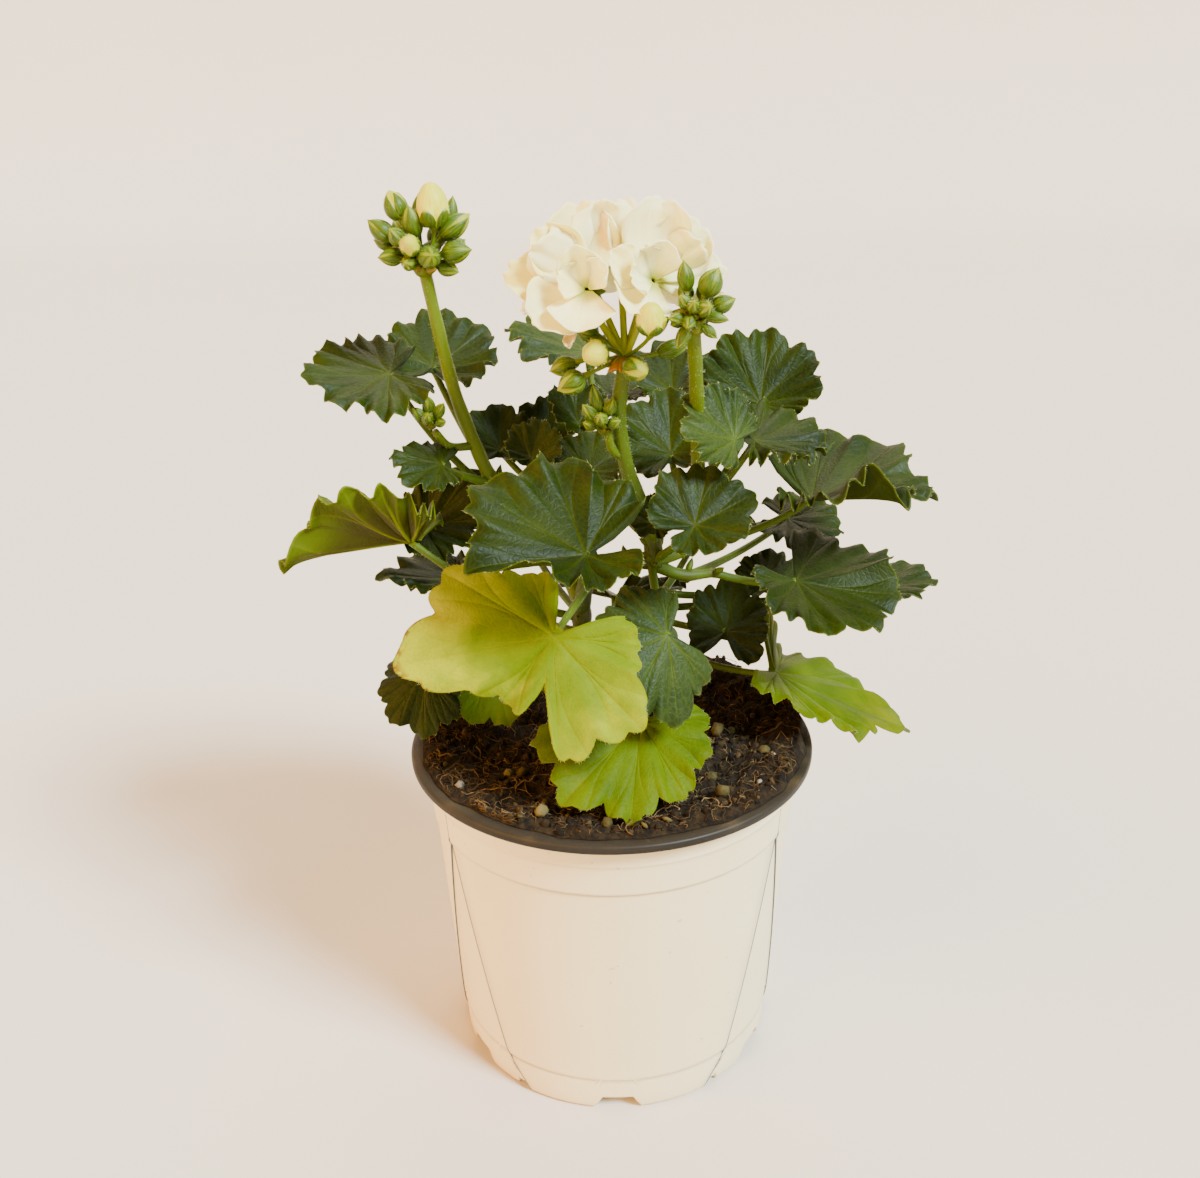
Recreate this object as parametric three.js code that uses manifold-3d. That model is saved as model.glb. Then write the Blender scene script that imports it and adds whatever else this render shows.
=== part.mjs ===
// Potted pelargonium in a small white nursery pot, standing on its foot.
// Millimetres, +Z up, the pot's axis is the Z axis and the viewer stands at -Y.
import * as THREE from "three";
import { mergeVertices } from "three/addons/utils/BufferGeometryUtils.js";
import Module from "manifold-3d";

const wasm = await Module();
wasm.setup();

// Pot
const POT_HEIGHT = 99;
const LIP_RADIUS = 60;
const LIP_HEIGHT = 2.6;
const LIP_BEVEL = 0.7;
const WALL_TOP_RADIUS = 55.3;
const BASE_RADIUS = 48.7;
const WALL = 1.4;
const FLOOR = 2;
const FOOT_DISC_RADIUS = 14;
const FOOT_RING_WIDTH = 4;
const FOOT_RECESS = 0.9;
const SHOULDER_Z = 80;
const SHOULDER_STEP = 0.5;
const FOOT_LINE_Z = 10.9;
const LINE_HALF = 0.5;
const LINE_DEPTH = 0.35;
const NOTCH_HEIGHT = 4.6;
const NOTCH_FOOT_WIDTH = 14;
const NOTCH_TOP_WIDTH = 9;
const NOTCH_REACH = 8;
const NOTCH_COUNT = 6;
const GUSSET_DEPTH = 0.55;
const GUSSET_TOP_Z = 81.5;
const GUSSET_BEND_Z = 12.5;
const GUSSET_BEND_HALF = 15.5;
const GUSSET_FOOT_HALF = 23.6;
const GUSSET_COUNT = 3;
const GUSSET_INNER = 30;
const CORNER_NOTCH_ANGLE = 23.6;
const CORNER_NOTCH_WIDTH = 3.4;
const CORNER_NOTCH_HEIGHT = 2.4;
const POT_SIDES = 28;
const FRONT = -Math.PI / 2;

// Soil
const SOIL_LEVEL = 97.3;
const SOIL_RIM_RISE = 2.2;
const SOIL_RIM_SPAN = [38, 52];
const SOIL_HEAP = 3.4;
const SOIL_SIDES = 24;
const SOIL_RADII = [14, 28, 40, 49];
const SPILL_RADIUS = 57.4;
const SPILL_EDGE = 0.5;
const SPILL_SLOPE = 1.5;
const LIP_CLEARANCE = 0.1;

// Plant
const GAP = 0.3;
const BLADE = 0.7;
const PETAL = 0.7;
const PETIOLE_ROOT = 1.15;
const PETIOLE_END = 0.8;
const STEM_SIDES = 6;
const STEM_STEP = 22;
const PETIOLE_SIDES = 4;
const PETIOLE_STEPS = 4;
const BUD_SIDES = 4;
const STEM_FOOT_Z = 50;
const SLIVER = 0.12;

const finish = (color, roughness) => new THREE.MeshStandardMaterial({ color, roughness, metalness: 0 });
const FINISHES = {
  pot: () => finish(0xe9e4d8, 0.45),
  soil: () => finish(0x2e2119, 1),
  stem: () => finish(0x8f9a4c, 0.6),
  green: () => finish(0x3f5a2c, 0.6),
  grey: () => finish(0x55684f, 0.6),
  lime: () => finish(0x8f9c33, 0.6),
  yellow: () => finish(0xc3a92f, 0.65),
  olive: () => finish(0x66702f, 0.65),
  petal: () => finish(0xf6f1e6, 0.7),
  bud: () => finish(0x9fae5a, 0.65),
};

const radians = THREE.MathUtils.degToRad;
const vec = (p) => new THREE.Vector3(...p);
const UP = vec([0, 0, 1]);

// A point at a share of the way from one place to another
const between = (from, to, share) => from.clone().lerp(to, share);

// The part of the way from low to high, eased at both ends
const eased = (value, low, high) => THREE.MathUtils.smoothstep(value, low, high);

// Repeatable draws between 0 and 1
function draws(seed) {
  let state = seed;
  return () => {
    state = (Math.imul(state, 1664525) + 1013904223) >>> 0;
    return state / 2 ** 32;
  };
}

// A closed solid from its points and triangles, turned the right way out
function solidOf(points, triangles) {
  let volume = 0;
  for (const [a, b, c] of triangles) {
    volume += points[a].dot(points[b].clone().cross(points[c]));
  }
  const faces = volume < 0 ? triangles.map(([a, b, c]) => [a, c, b]) : triangles;
  const vertProperties = new Float32Array(points.flatMap((p) => p.toArray()));
  const triVerts = new Uint32Array(faces.flat());
  return new wasm.Manifold(new wasm.Mesh({ numProp: 3, vertProperties, triVerts }));
}

// A closed solid from a three.js geometry
function solidFrom(geometry) {
  geometry.deleteAttribute("normal");
  geometry.deleteAttribute("uv");
  const merged = mergeVertices(geometry, 1e-4);
  const position = merged.getAttribute("position");
  const points = [];
  for (let i = 0; i < position.count; i += 1) {
    points.push(new THREE.Vector3().fromBufferAttribute(position, i));
  }
  const triangles = [];
  for (let i = 0; i < merged.index.count; i += 3) {
    const corners = [0, 1, 2].map((k) => merged.index.getX(i + k));
    if (new Set(corners).size === 3) triangles.push(corners);
  }
  return solidOf(points, triangles);
}

// A solid of revolution about Z from a closed list of [radius, height] pairs
function lathe(profile, sides) {
  const outline = profile.map(([r, z]) => new THREE.Vector2(r, z));
  const geometry = new THREE.LatheGeometry(outline, sides);
  geometry.rotateX(Math.PI / 2);
  return solidFrom(geometry);
}

// A prism whose outline lies across the pot's radius and which runs outward along it
function radialPrism(outline, inner, outer, azimuth) {
  const shape = new THREE.Shape(outline.map(([across, height]) => new THREE.Vector2(across, height)));
  const geometry = new THREE.ExtrudeGeometry(shape, { depth: outer - inner, bevelEnabled: false });
  geometry.translate(0, 0, inner);
  geometry.rotateX(Math.PI / 2);
  geometry.rotateZ(azimuth + Math.PI / 2);
  return solidFrom(geometry);
}

// A closed tube along a curve, with a radius for each station and flat ends
function sweep(curve, radii, sides) {
  const last = radii.length - 1;
  const frames = curve.computeFrenetFrames(last, false);
  const points = [];
  const triangles = [];
  radii.forEach((radius, i) => {
    const centre = curve.getPointAt(i / last);
    for (let k = 0; k < sides; k += 1) {
      const angle = (2 * Math.PI * k) / sides;
      const across = frames.normals[i].clone().multiplyScalar(radius * Math.cos(angle));
      const along = frames.binormals[i].clone().multiplyScalar(radius * Math.sin(angle));
      points.push(centre.clone().add(across).add(along));
    }
  });
  for (let i = 0; i < last; i += 1) {
    for (let k = 0; k < sides; k += 1) {
      const next = (k + 1) % sides;
      const a = i * sides + k;
      const b = i * sides + next;
      triangles.push([a, b, a + sides], [b, b + sides, a + sides]);
    }
  }
  for (let k = 1; k < sides - 1; k += 1) {
    triangles.push([0, k + 1, k]);
    triangles.push([last * sides, last * sides + k, last * sides + k + 1]);
  }
  return solidOf(points, triangles);
}

const join = (solids) => wasm.Manifold.union(solids).simplify(SLIVER);

// The one outer skin of a solid, without crumbs or closed bubbles
function skinOf(solid) {
  const pieces = solid.decompose();
  return pieces.reduce((best, piece) => (piece.volume() > best.volume() ? piece : best));
}

// Pot
const outerRadius = (z) => THREE.MathUtils.mapLinear(z, 0, POT_HEIGHT, BASE_RADIUS, WALL_TOP_RADIUS);
const innerRadius = (z) => outerRadius(z) - WALL;

function potSolid() {
  const lipFoot = POT_HEIGHT - LIP_HEIGHT;
  const ringInner = BASE_RADIUS - FOOT_RING_WIDTH;
  const above = (z) => outerRadius(z) + SHOULDER_STEP;
  const groove = (z, radius) => [
    [radius(z - LINE_HALF), z - LINE_HALF],
    [radius(z) - LINE_DEPTH, z],
    [radius(z + LINE_HALF), z + LINE_HALF],
  ];
  const body = lathe(
    [
      [0, 0],
      [FOOT_DISC_RADIUS, 0],
      [FOOT_DISC_RADIUS + 1, FOOT_RECESS],
      [ringInner - 1, FOOT_RECESS],
      [ringInner, 0],
      [BASE_RADIUS - 1, 0],
      [outerRadius(1.2), 1.2],
      ...groove(FOOT_LINE_Z, outerRadius),
      [outerRadius(SHOULDER_Z - SHOULDER_STEP), SHOULDER_Z - SHOULDER_STEP],
      [above(SHOULDER_Z), SHOULDER_Z],
      [above(lipFoot), lipFoot],
      [LIP_RADIUS, lipFoot],
      [LIP_RADIUS, POT_HEIGHT - LIP_BEVEL],
      [LIP_RADIUS - LIP_BEVEL, POT_HEIGHT],
      [innerRadius(POT_HEIGHT) + LIP_BEVEL, POT_HEIGHT],
      [innerRadius(POT_HEIGHT - 1), POT_HEIGHT - 1],
      [innerRadius(FLOOR), FLOOR],
      [0, FLOOR],
    ],
    POT_SIDES,
  );
  const skin = lathe(
    [
      [outerRadius(-1) - GUSSET_DEPTH, -1],
      [LIP_RADIUS, -1],
      [LIP_RADIUS, lipFoot],
      [outerRadius(lipFoot) - GUSSET_DEPTH, lipFoot],
      [outerRadius(-1) - GUSSET_DEPTH, -1],
    ],
    POT_SIDES,
  );
  const notchOutline = (footWidth, topWidth, height) => [
    [-footWidth / 2, -1],
    [footWidth / 2, -1],
    [topWidth / 2, height],
    [-topWidth / 2, height],
  ];
  const notchInner = BASE_RADIUS - NOTCH_REACH;
  const cornerOutline = notchOutline(CORNER_NOTCH_WIDTH, CORNER_NOTCH_WIDTH, CORNER_NOTCH_HEIGHT);
  const cuts = [];
  for (let i = 0; i < GUSSET_COUNT; i += 1) {
    const azimuth = FRONT + Math.PI * ((2 * i + 1) / GUSSET_COUNT);
    const outline = [
      [-GUSSET_FOOT_HALF, -1],
      [GUSSET_FOOT_HALF, -1],
      [GUSSET_BEND_HALF, GUSSET_BEND_Z],
      [0, GUSSET_TOP_Z],
      [-GUSSET_BEND_HALF, GUSSET_BEND_Z],
    ];
    cuts.push(skin.intersect(radialPrism(outline, GUSSET_INNER, LIP_RADIUS, azimuth)));
    for (const way of [-1, 1]) {
      const corner = azimuth + way * radians(CORNER_NOTCH_ANGLE);
      cuts.push(radialPrism(cornerOutline, notchInner, LIP_RADIUS, corner));
    }
  }
  for (let i = 0; i < NOTCH_COUNT; i += 1) {
    const azimuth = FRONT + (2 * Math.PI * i) / NOTCH_COUNT;
    const outline = notchOutline(NOTCH_FOOT_WIDTH, NOTCH_TOP_WIDTH, NOTCH_HEIGHT);
    cuts.push(radialPrism(outline, notchInner, LIP_RADIUS, azimuth));
  }
  return body.subtract(join(cuts));
}

// Stems, each a curve through a few places with a radius at its root and its end
const STEMS = {
  trunk: {
    radii: [3, 2.5],
    through: [[-8, 2, STEM_FOOT_Z], [-8, 2, 100], [-8.2, 1, 128], [-8.2, 0, 144]],
  },
  crook: { radii: [2.5, 2.2], through: [[-8.2, 0, 140], [-5.4, -2, 151.7], [2, -4, 156], [13, -6, 157.5]] },
  umbel_stalk: {
    radii: [2.1, 1.5],
    through: [
      [12.9, -6, 156], [12, -8, 164], [8.5, -12, 177], [5.3, -14, 186], [3, -18, 202], [4.7, -20, 217],
    ],
  },
  left_stalk: {
    radii: [2.2, 1.6],
    through: [
      [-8.2, 0, 142], [-14, 6, 153], [-25, 6, 169], [-33, 4, 180],
      [-38, 2, 194], [-41, 0, 205], [-44, -2, 222], [-46.2, -4, 237],
    ],
  },
  right_stalk: {
    radii: [2, 1.5],
    through: [
      [12, -6, 157], [23, -2, 160.3], [25.8, 0, 167], [24.4, -8, 187], [23, -19, 206], [21, -31, 227],
    ],
  },
  right_branch: { radii: [2.1, 1], through: [[11, -6, 157], [21, -4, 152], [32, -2, 152]] },
  back_branch: { radii: [2.3, 1], through: [[-8, 1, 138], [-8, 12, 150], [-4, 20, 166], [0, 22, 184]] },
  young_left_stalk: { radii: [1, 0.8], through: [[-36, 3, 189], [-43, -1, 190], [-46.5, -4, 195]] },
  young_centre_stalk: { radii: [1, 0.8], through: [[4, -15, 190], [1.2, -18, 193], [-0.2, -20, 199]] },
  low_branch: { radii: [2.2, 1], through: [[-8, 2, 112], [-2, 12, 122], [8, 20, 128], [18, 24, 136]] },
};

for (const stem of Object.values(STEMS)) {
  stem.curve = new THREE.CatmullRomCurve3(stem.through.map(vec));
}

const spotOn = ([name, share]) => STEMS[name].curve.getPointAt(share);

// All the stems as one solid, thickened by grow where it serves as a cutter
function stemSolid(grow) {
  const tubes = Object.values(STEMS).map(({ curve, radii }) => {
    const steps = 2 + Math.round(curve.getLength() / STEM_STEP);
    const widths = Array.from({ length: steps }, (_, i) => {
      return THREE.MathUtils.lerp(radii[0], radii[1], i / (steps - 1)) + grow;
    });
    return sweep(curve, widths, STEM_SIDES);
  });
  return join(tubes);
}

// Soil: the pot's filling, dished in the middle, heaped at the back on the right and spilt over the lip
function soilHeight(x, y) {
  const rim = SOIL_RIM_RISE * eased(Math.hypot(x, y), ...SOIL_RIM_SPAN);
  const heap = SOIL_HEAP * eased(x * 0.75 + y * 0.66, -10, 45);
  const lumps = 0.7 * Math.sin(x * 0.31 + 1.3) * Math.sin(y * 0.27 + 0.4);
  const crumbs = 0.4 * Math.sin(x * 0.83 + y * 0.41) * Math.cos(y * 0.77 - x * 0.29);
  return SOIL_LEVEL + rim + heap + lumps + crumbs;
}

// How far the soil reaches out over the lip: least at the front, most at the back and the right
const spillRadius = (angle) => SPILL_RADIUS + 0.9 * Math.cos(angle) + 1.6 * Math.sin(angle);

function soilSolid() {
  const flatShare = Math.cos(Math.PI / POT_SIDES);
  const wallRadius = (z) => innerRadius(z) * flatShare - GAP;
  const onLip = POT_HEIGHT + LIP_CLEARANCE;
  const bottom = FLOOR + GAP;
  const lowest = onLip + SPILL_EDGE;
  const surface = (radius) => (angle) => {
    const reach = Math.min(radius, spillRadius(angle) - SPILL_SLOPE);
    const z = soilHeight(reach * Math.cos(angle), reach * Math.sin(angle));
    return [reach, radius > wallRadius(POT_HEIGHT) ? Math.max(z, lowest + 0.2) : z];
  };
  const rings = [
    ...SOIL_RADII.map(surface),
    surface(LIP_RADIUS),
    (angle) => [spillRadius(angle), lowest],
    (angle) => [spillRadius(angle) - 0.3, onLip],
    () => [wallRadius(POT_HEIGHT) + LIP_BEVEL, onLip],
    () => [wallRadius(POT_HEIGHT - 1), POT_HEIGHT - 1],
    () => [wallRadius(bottom) - 1.2, bottom],
  ];
  const points = [vec([0, 0, soilHeight(0, 0)])];
  for (const ring of rings) {
    for (let k = 0; k < SOIL_SIDES; k += 1) {
      const angle = (2 * Math.PI * k) / SOIL_SIDES;
      const [reach, z] = ring(angle);
      points.push(vec([reach * Math.cos(angle), reach * Math.sin(angle), z]));
    }
  }
  const centre = points.push(vec([0, 0, bottom])) - 1;
  const triangles = [];
  for (let k = 0; k < SOIL_SIDES; k += 1) {
    const next = (k + 1) % SOIL_SIDES;
    triangles.push([0, 1 + k, 1 + next]);
    for (let ring = 0; ring < rings.length - 1; ring += 1) {
      const a = 1 + ring * SOIL_SIDES;
      triangles.push([a + k, a + k + SOIL_SIDES, a + next]);
      triangles.push([a + next, a + k + SOIL_SIDES, a + next + SOIL_SIDES]);
    }
    const rim = 1 + (rings.length - 1) * SOIL_SIDES;
    triangles.push([rim + next, rim + k, centre]);
  }
  const [footX, footY] = STEMS.trunk.through[0];
  const holeRadius = STEMS.trunk.radii[0] / Math.cos(Math.PI / STEM_SIDES) + GAP;
  const hole = new THREE.CylinderGeometry(holeRadius, holeRadius, POT_HEIGHT, 2 * STEM_SIDES);
  hole.rotateX(Math.PI / 2);
  hole.translate(footX, footY, STEM_FOOT_Z - GAP + POT_HEIGHT / 2);
  return solidOf(points, triangles).subtract(solidFrom(hole));
}

// Leaves. Each is a polar sheet about its hub, with seven lobes numbered from one side to the other.
// hub and tip give its place, roll turns it about the midrib, spread is the angle from lobe to lobe,
// reach gives each lobe's length and lift its height off the blade's plane, as shares of the midrib.
// cut is a deep gap in the margin: its lobe number, its half width in lobes and its depth as a share.
const LOBES = 7;
const PLAIN_REACH = [0.6, 0.8, 0.95, 1, 0.95, 0.8, 0.6];
const PLAIN_LIFT = [0.25, 0.2, 0.15, 0.05, 0.15, 0.2, 0.25];
const NO_CUT = [0, 1, 0];
const LOBE_STEPS = {
  large: { outer: 6, inner: 2 },
  medium: { outer: 4, inner: 2 },
  small: { outer: 3, inner: 1 },
};
const LOBE_NOTCH = 0.13;
const PLEAT = 0.06;
const TOOTH = 0.035;
const SINUS_RADIUS = 3;
const INNER_SHARE = 0.55;

const LEAVES = [
  {
    name: "yellow_front", tone: "yellow", size: "large", from: ["crook", 0.5],
    hub: [-15, -38, 149], tip: [-41, -55, 122], roll: -49, spread: 41, cut: [2.3, 0.22, 0.55],
    reach: [0.55, 0.8, 0.82, 0.5, 1, 0.8, 0.45], lift: [-0.05, 0, 0, -0.12, 0, 0, -0.2],
  },
  {
    name: "lime_front", tone: "lime", size: "large", from: ["trunk", 0.62],
    hub: [8, -28, 118], tip: [4, -55.5, 101.6], roll: -7, spread: 35,
    reach: [0.6, 0.65, 0.75, 0.9, 1, 0.95, 0.6], lift: [-0.1, 0, -0.1, -0.1, -0.05, 0, -0.2],
  },
  {
    name: "centre_low", tone: "grey", size: "large", from: ["crook", 0.96],
    hub: [15, -30, 145], tip: [-6, -40, 141], roll: -51, spread: 38,
    reach: [0.7, 1, 1, 0.9, 0.8, 0.75, 0.6], lift: [-0.2, -0.25, -0.1, -0.05, -0.15, -0.15, -0.15],
  },
  {
    name: "centre_big", tone: "green", size: "large", from: ["crook", 0.75],
    hub: [-6, -42, 173], tip: [-38, -52, 173], roll: -31, spread: 43,
    reach: [0.45, 0.45, 0.5, 0.9, 1, 0.9, 0.7], lift: [0.2, 0.15, 0.2, 0.05, 0.1, 0.15, 0.15],
  },
  {
    name: "left_folded", tone: "olive", size: "large", from: ["trunk", 0.93],
    hub: [-55, -5, 164], tip: [-91, -10, 163], roll: 25, spread: 36,
    reach: [0.4, 0.6, 0.75, 1, 0.9, 0.8, 0.5], lift: [0.2, 0.35, 0.35, -0.1, 0.3, 0.35, 0.2],
  },
  {
    name: "left_inner", tone: "green", size: "small", from: ["left_stalk", 0.12],
    hub: [-55, 20, 159], tip: [-32, 21, 163], roll: 40, spread: 34,
    reach: [0.5, 0.85, 1, 0.85, 0.7, 0.7, 0.5], lift: [0.15, 0.25, 0.2, 0.05, 0.1, 0.25, 0.25],
  },
  {
    name: "left_high", tone: "green", size: "medium", from: ["left_stalk", 0.28], bend: [-2, -3, 0],
    hub: [-59, 5, 209], tip: [-81, -2, 208], roll: -21, spread: 39,
    reach: [0.7, 0.95, 0.95, 1, 0.95, 0.9, 0.65], lift: [0.05, 0.05, 0.1, -0.05, 0.1, 0, 0.05],
  },
  {
    name: "left_back", tone: "green", size: "small", from: ["left_stalk", 0.42], bend: [0, 6, 0],
    hub: [-50, 27, 206], tip: [-50, 49, 217], roll: 9, spread: 43,
    reach: [0.6, 0.55, 0.75, 1, 0.9, 0.75, 0.7], lift: [0.15, 0.25, 0.1, 0.1, 0.15, 0.2, 0.25],
  },
  {
    name: "left_young", tone: "green", size: "small", from: ["left_stalk", 0.42],
    hub: [-45, -8, 187], tip: [-58, -12, 190], roll: -26, spread: 38,
    reach: [0.6, 0.8, 1, 1, 0.8, 0.7, 0.65], lift: [0.05, 0, -0.05, 0.05, 0, -0.05, 0.05],
  },
  {
    name: "right_fan", tone: "green", size: "medium", from: ["right_stalk", 0.22],
    hub: [44, 17, 196], tip: [48, 31, 214], roll: 15, spread: 36,
    reach: [0.55, 0.85, 0.95, 1, 0.95, 0.75, 0.5], lift: [0.05, 0.35, 0.2, 0.05, 0.1, 0.25, 0.35],
  },
  {
    name: "right_grey", tone: "grey", size: "medium", from: ["right_stalk", 0.35],
    hub: [33, -18, 195], tip: [20, -18, 207], roll: -42, spread: 33,
    reach: [0.55, 0.8, 0.95, 1, 0.9, 0.85, 0.6], lift: [0.1, 0.05, 0, 0, 0.05, 0, 0],
  },
  {
    name: "right_crinkled", tone: "green", size: "medium", from: ["right_stalk", 0.28],
    hub: [39, -12, 193], tip: [62, -8, 190], roll: 15, spread: 34,
    reach: [0.55, 0.95, 1, 0.9, 0.7, 0.6, 0.45], lift: [0.1, 0.05, 0.05, 0, 0.05, 0.15, 0],
  },
  {
    name: "right_large", tone: "green", size: "large", from: ["right_stalk", 0.14],
    hub: [57, 0, 173], tip: [93, -1, 175], roll: -5, spread: 38,
    reach: [0.5, 0.95, 1, 0.95, 0.8, 0.65, 0.5], lift: [0.25, 0.35, 0.25, 0, 0.1, 0.15, 0.1],
  },
  {
    name: "centre_small", tone: "green", size: "small", from: ["crook", 0.98],
    hub: [22, -30, 176], tip: [38, -23, 181], roll: 37, spread: 47,
    reach: [0.7, 0.85, 0.95, 1, 0.75, 0.6, 0.6], lift: [0.2, 0.25, 0.15, 0.1, 0.2, 0.2, 0.15],
  },
  {
    name: "right_low", tone: "green", size: "medium", from: ["right_branch", 0.9],
    hub: [53, -5, 150], tip: [75, -24, 139], roll: 2, spread: 37,
    reach: [0.8, 1, 0.95, 0.9, 0.8, 0.65, 0.5], lift: [0.1, 0.05, 0.05, 0.1, 0.05, 0.05, 0.1],
  },
  {
    name: "right_far", tone: "green", size: "small", from: ["low_branch", 0.8], bend: [6, 16, 2],
    hub: [79, 20, 137], tip: [99, 17, 141], roll: 0, spread: 36,
    reach: [0.6, 0.95, 1, 1, 0.9, 0.9, 0.7], lift: [0.05, 0.05, 0.05, -0.05, 0, 0.1, 0.05],
  },
  {
    name: "right_dark", tone: "green", size: "small", from: ["low_branch", 0.75],
    hub: [35, 10, 128], tip: [39, 24, 140], roll: 10, spread: 43,
    reach: [0.65, 0.65, 0.8, 1, 0.8, 0.65, 0.75], lift: [0.1, 0.2, 0.1, 0, 0, 0.2, 0.15],
  },
  {
    name: "lime_right", tone: "lime", size: "medium", from: ["low_branch", 0.6],
    hub: [50, 5, 116], tip: [89, 5, 93], roll: 2, spread: 37,
    reach: [0.45, 0.6, 0.85, 1, 0.7, 0.55, 0.45], lift: [0.25, -0.05, 0.05, 0.1, 0.05, 0.05, 0],
  },
  {
    name: "mid_dark", tone: "green", size: "small", from: ["right_stalk", 0.15],
    hub: [18, 8, 184], tip: [18, 22, 199], roll: 0, spread: 43,
    reach: [0.6, 0.7, 0.85, 1, 0.85, 0.6, 0.5], lift: [0.25, 0.3, 0.25, 0.1, 0.2, 0.3, 0.35],
  },
  {
    name: "top_back", tone: "grey", size: "small", from: ["back_branch", 0.97],
    hub: [-5, 34, 208], tip: [-29, 37, 214], roll: -14, spread: 36,
    reach: [0.45, 0.7, 0.85, 1, 0.95, 0.85, 0.55], lift: [0.05, 0.15, 0, 0.05, 0.05, 0.1, -0.05],
  },
  {
    name: "mid_upright", tone: "green", size: "small", from: ["back_branch", 0.8],
    hub: [-8, 20, 190], tip: [-11, 30, 201], roll: 4, spread: 43,
    reach: [0.4, 0.55, 0.8, 1, 0.8, 0.5, 0.4], lift: [0.25, 0.3, 0.3, 0.15, 0.25, 0.3, 0.3],
  },
  {
    name: "back_left_a", tone: "green", size: "small", from: ["back_branch", 0.5],
    hub: [-32, 30, 180], tip: [-32, 42, 190], roll: 8, spread: 43,
    reach: [0.6, 0.65, 0.85, 1, 0.8, 0.65, 0.6], lift: [0.3, 0.35, 0.3, 0.15, 0.3, 0.35, 0.35],
  },
  {
    name: "back_left_b", tone: "green", size: "small", from: ["back_branch", 0.4],
    hub: [-18, 37, 181], tip: [-17, 48, 191], roll: 4, spread: 43,
    reach: [0.55, 0.6, 0.85, 1, 0.85, 0.6, 0.5], lift: [0.25, 0.35, 0.25, 0.15, 0.25, 0.35, 0.35],
  },
  {
    name: "back_left_c", tone: "green", size: "small", from: ["left_stalk", 0.2],
    hub: [-21, 0, 186], tip: [-18, 9, 193], roll: 8, spread: 43,
    reach: [0.5, 0.6, 0.85, 1, 0.85, 0.75, 0.7], lift: [0.3, 0.35, 0.3, 0.2, 0.3, 0.35, 0.35],
  },
  {
    name: "centre_back", tone: "green", size: "small", from: ["umbel_stalk", 0.12],
    hub: [-5, 0, 182], tip: [-3, 13, 189], roll: 10, spread: 43,
    reach: [0.6, 0.7, 0.85, 1, 0.9, 0.7, 0.6], lift: [0.2, 0.25, 0.15, 0.1, 0.15, 0.2, 0.2],
  },
  {
    name: "low_left", tone: "green", size: "small", from: ["trunk", 0.86],
    hub: [-53, -12, 127], tip: [-64, -20, 115], roll: -28, spread: 35,
    reach: [0.6, 0.85, 1, 0.95, 0.85, 0.8, 0.7], lift: [-0.2, -0.3, -0.3, -0.1, -0.15, -0.35, -0.5],
  },
  {
    name: "low_left_olive", tone: "lime", size: "small", from: ["trunk", 0.66],
    hub: [-35, 0, 122], tip: [-41, -13, 111], roll: -14, spread: 36,
    reach: [0.5, 0.8, 1, 1, 0.85, 0.6, 0.5], lift: [0, -0.1, -0.15, -0.05, 0, -0.15, -0.2],
  },
  {
    name: "left_under", tone: "green", size: "small", from: ["trunk", 0.88],
    hub: [-43, 20, 142], tip: [-70, 18, 145], roll: -2, spread: 36,
    reach: [0.4, 0.5, 0.7, 1, 0.9, 0.7, 0.4], lift: [0, 0.05, 0.05, 0, 0.05, 0.05, 0.05],
  },
  {
    name: "right_behind", tone: "green", size: "small", from: ["right_branch", 0.55], bend: [0, 8, -2],
    hub: [55, 28, 157], tip: [74, 27, 153], roll: 14, spread: 40,
    reach: [0.6, 0.95, 1, 0.9, 0.8, 0.8, 0.7], lift: [0, -0.05, 0.05, 0, 0, 0, 0.05],
  },
  {
    name: "top_mid_back", tone: "green", size: "small", from: ["back_branch", 0.97],
    hub: [20, 28, 197], tip: [19, 45, 208], roll: 1, spread: 43,
    reach: [0.45, 0.65, 0.85, 1, 0.85, 0.65, 0.45], lift: [0.15, 0.2, 0.15, 0.1, 0.1, 0.2, 0.2],
  },
  {
    name: "right_mid_back", tone: "grey", size: "small", from: ["low_branch", 0.97],
    hub: [50, 30, 134], tip: [53, 46, 140], roll: 10, spread: 43,
    reach: [0.6, 0.65, 0.75, 1, 0.85, 0.6, 0.5], lift: [0.1, 0.2, 0.1, 0.05, 0.15, 0.15, 0.2],
  },
  {
    name: "shoot", tone: "green", size: "small", from: ["umbel_stalk", 0.08],
    hub: [12, -15, 171.5], tip: [12.5, -13.5, 179.5], roll: 0, spread: 43,
  },
  {
    name: "rear_left", tone: "green", size: "small", from: ["trunk", 0.94],
    hub: [-28, 44, 152], tip: [-42, 66, 146], roll: 0, spread: 44,
  },
  {
    name: "rear_centre", tone: "green", size: "small", from: ["back_branch", 0.6],
    hub: [6, 50, 168], tip: [12, 77, 164], roll: 0, spread: 44,
  },
  {
    name: "rear_right", tone: "green", size: "small", from: ["low_branch", 0.9],
    hub: [30, 46, 148], tip: [46, 68, 140], roll: 0, spread: 44,
  },
  {
    name: "rear_low_left", tone: "lime", size: "small", from: ["trunk", 0.6],
    hub: [-42, 36, 116], tip: [-62, 50, 104], roll: 0, spread: 42,
  },
  {
    name: "rear_low", tone: "green", size: "small", from: ["low_branch", 0.5],
    hub: [2, 48, 124], tip: [6, 74, 112], roll: 0, spread: 42,
  },
  {
    name: "rear_high", tone: "green", size: "small", from: ["back_branch", 0.85],
    hub: [4, 50, 190], tip: [6, 66, 194], roll: 0, spread: 44,
  },
];

// The value at a lobe number, eased between the lobes' own values
function lobeValue(values, lobe) {
  const place = THREE.MathUtils.clamp(lobe, 0, LOBES - 1);
  const low = Math.min(Math.floor(place), LOBES - 2);
  return THREE.MathUtils.lerp(values[low], values[low + 1], eased(place - low, 0, 1));
}

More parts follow.
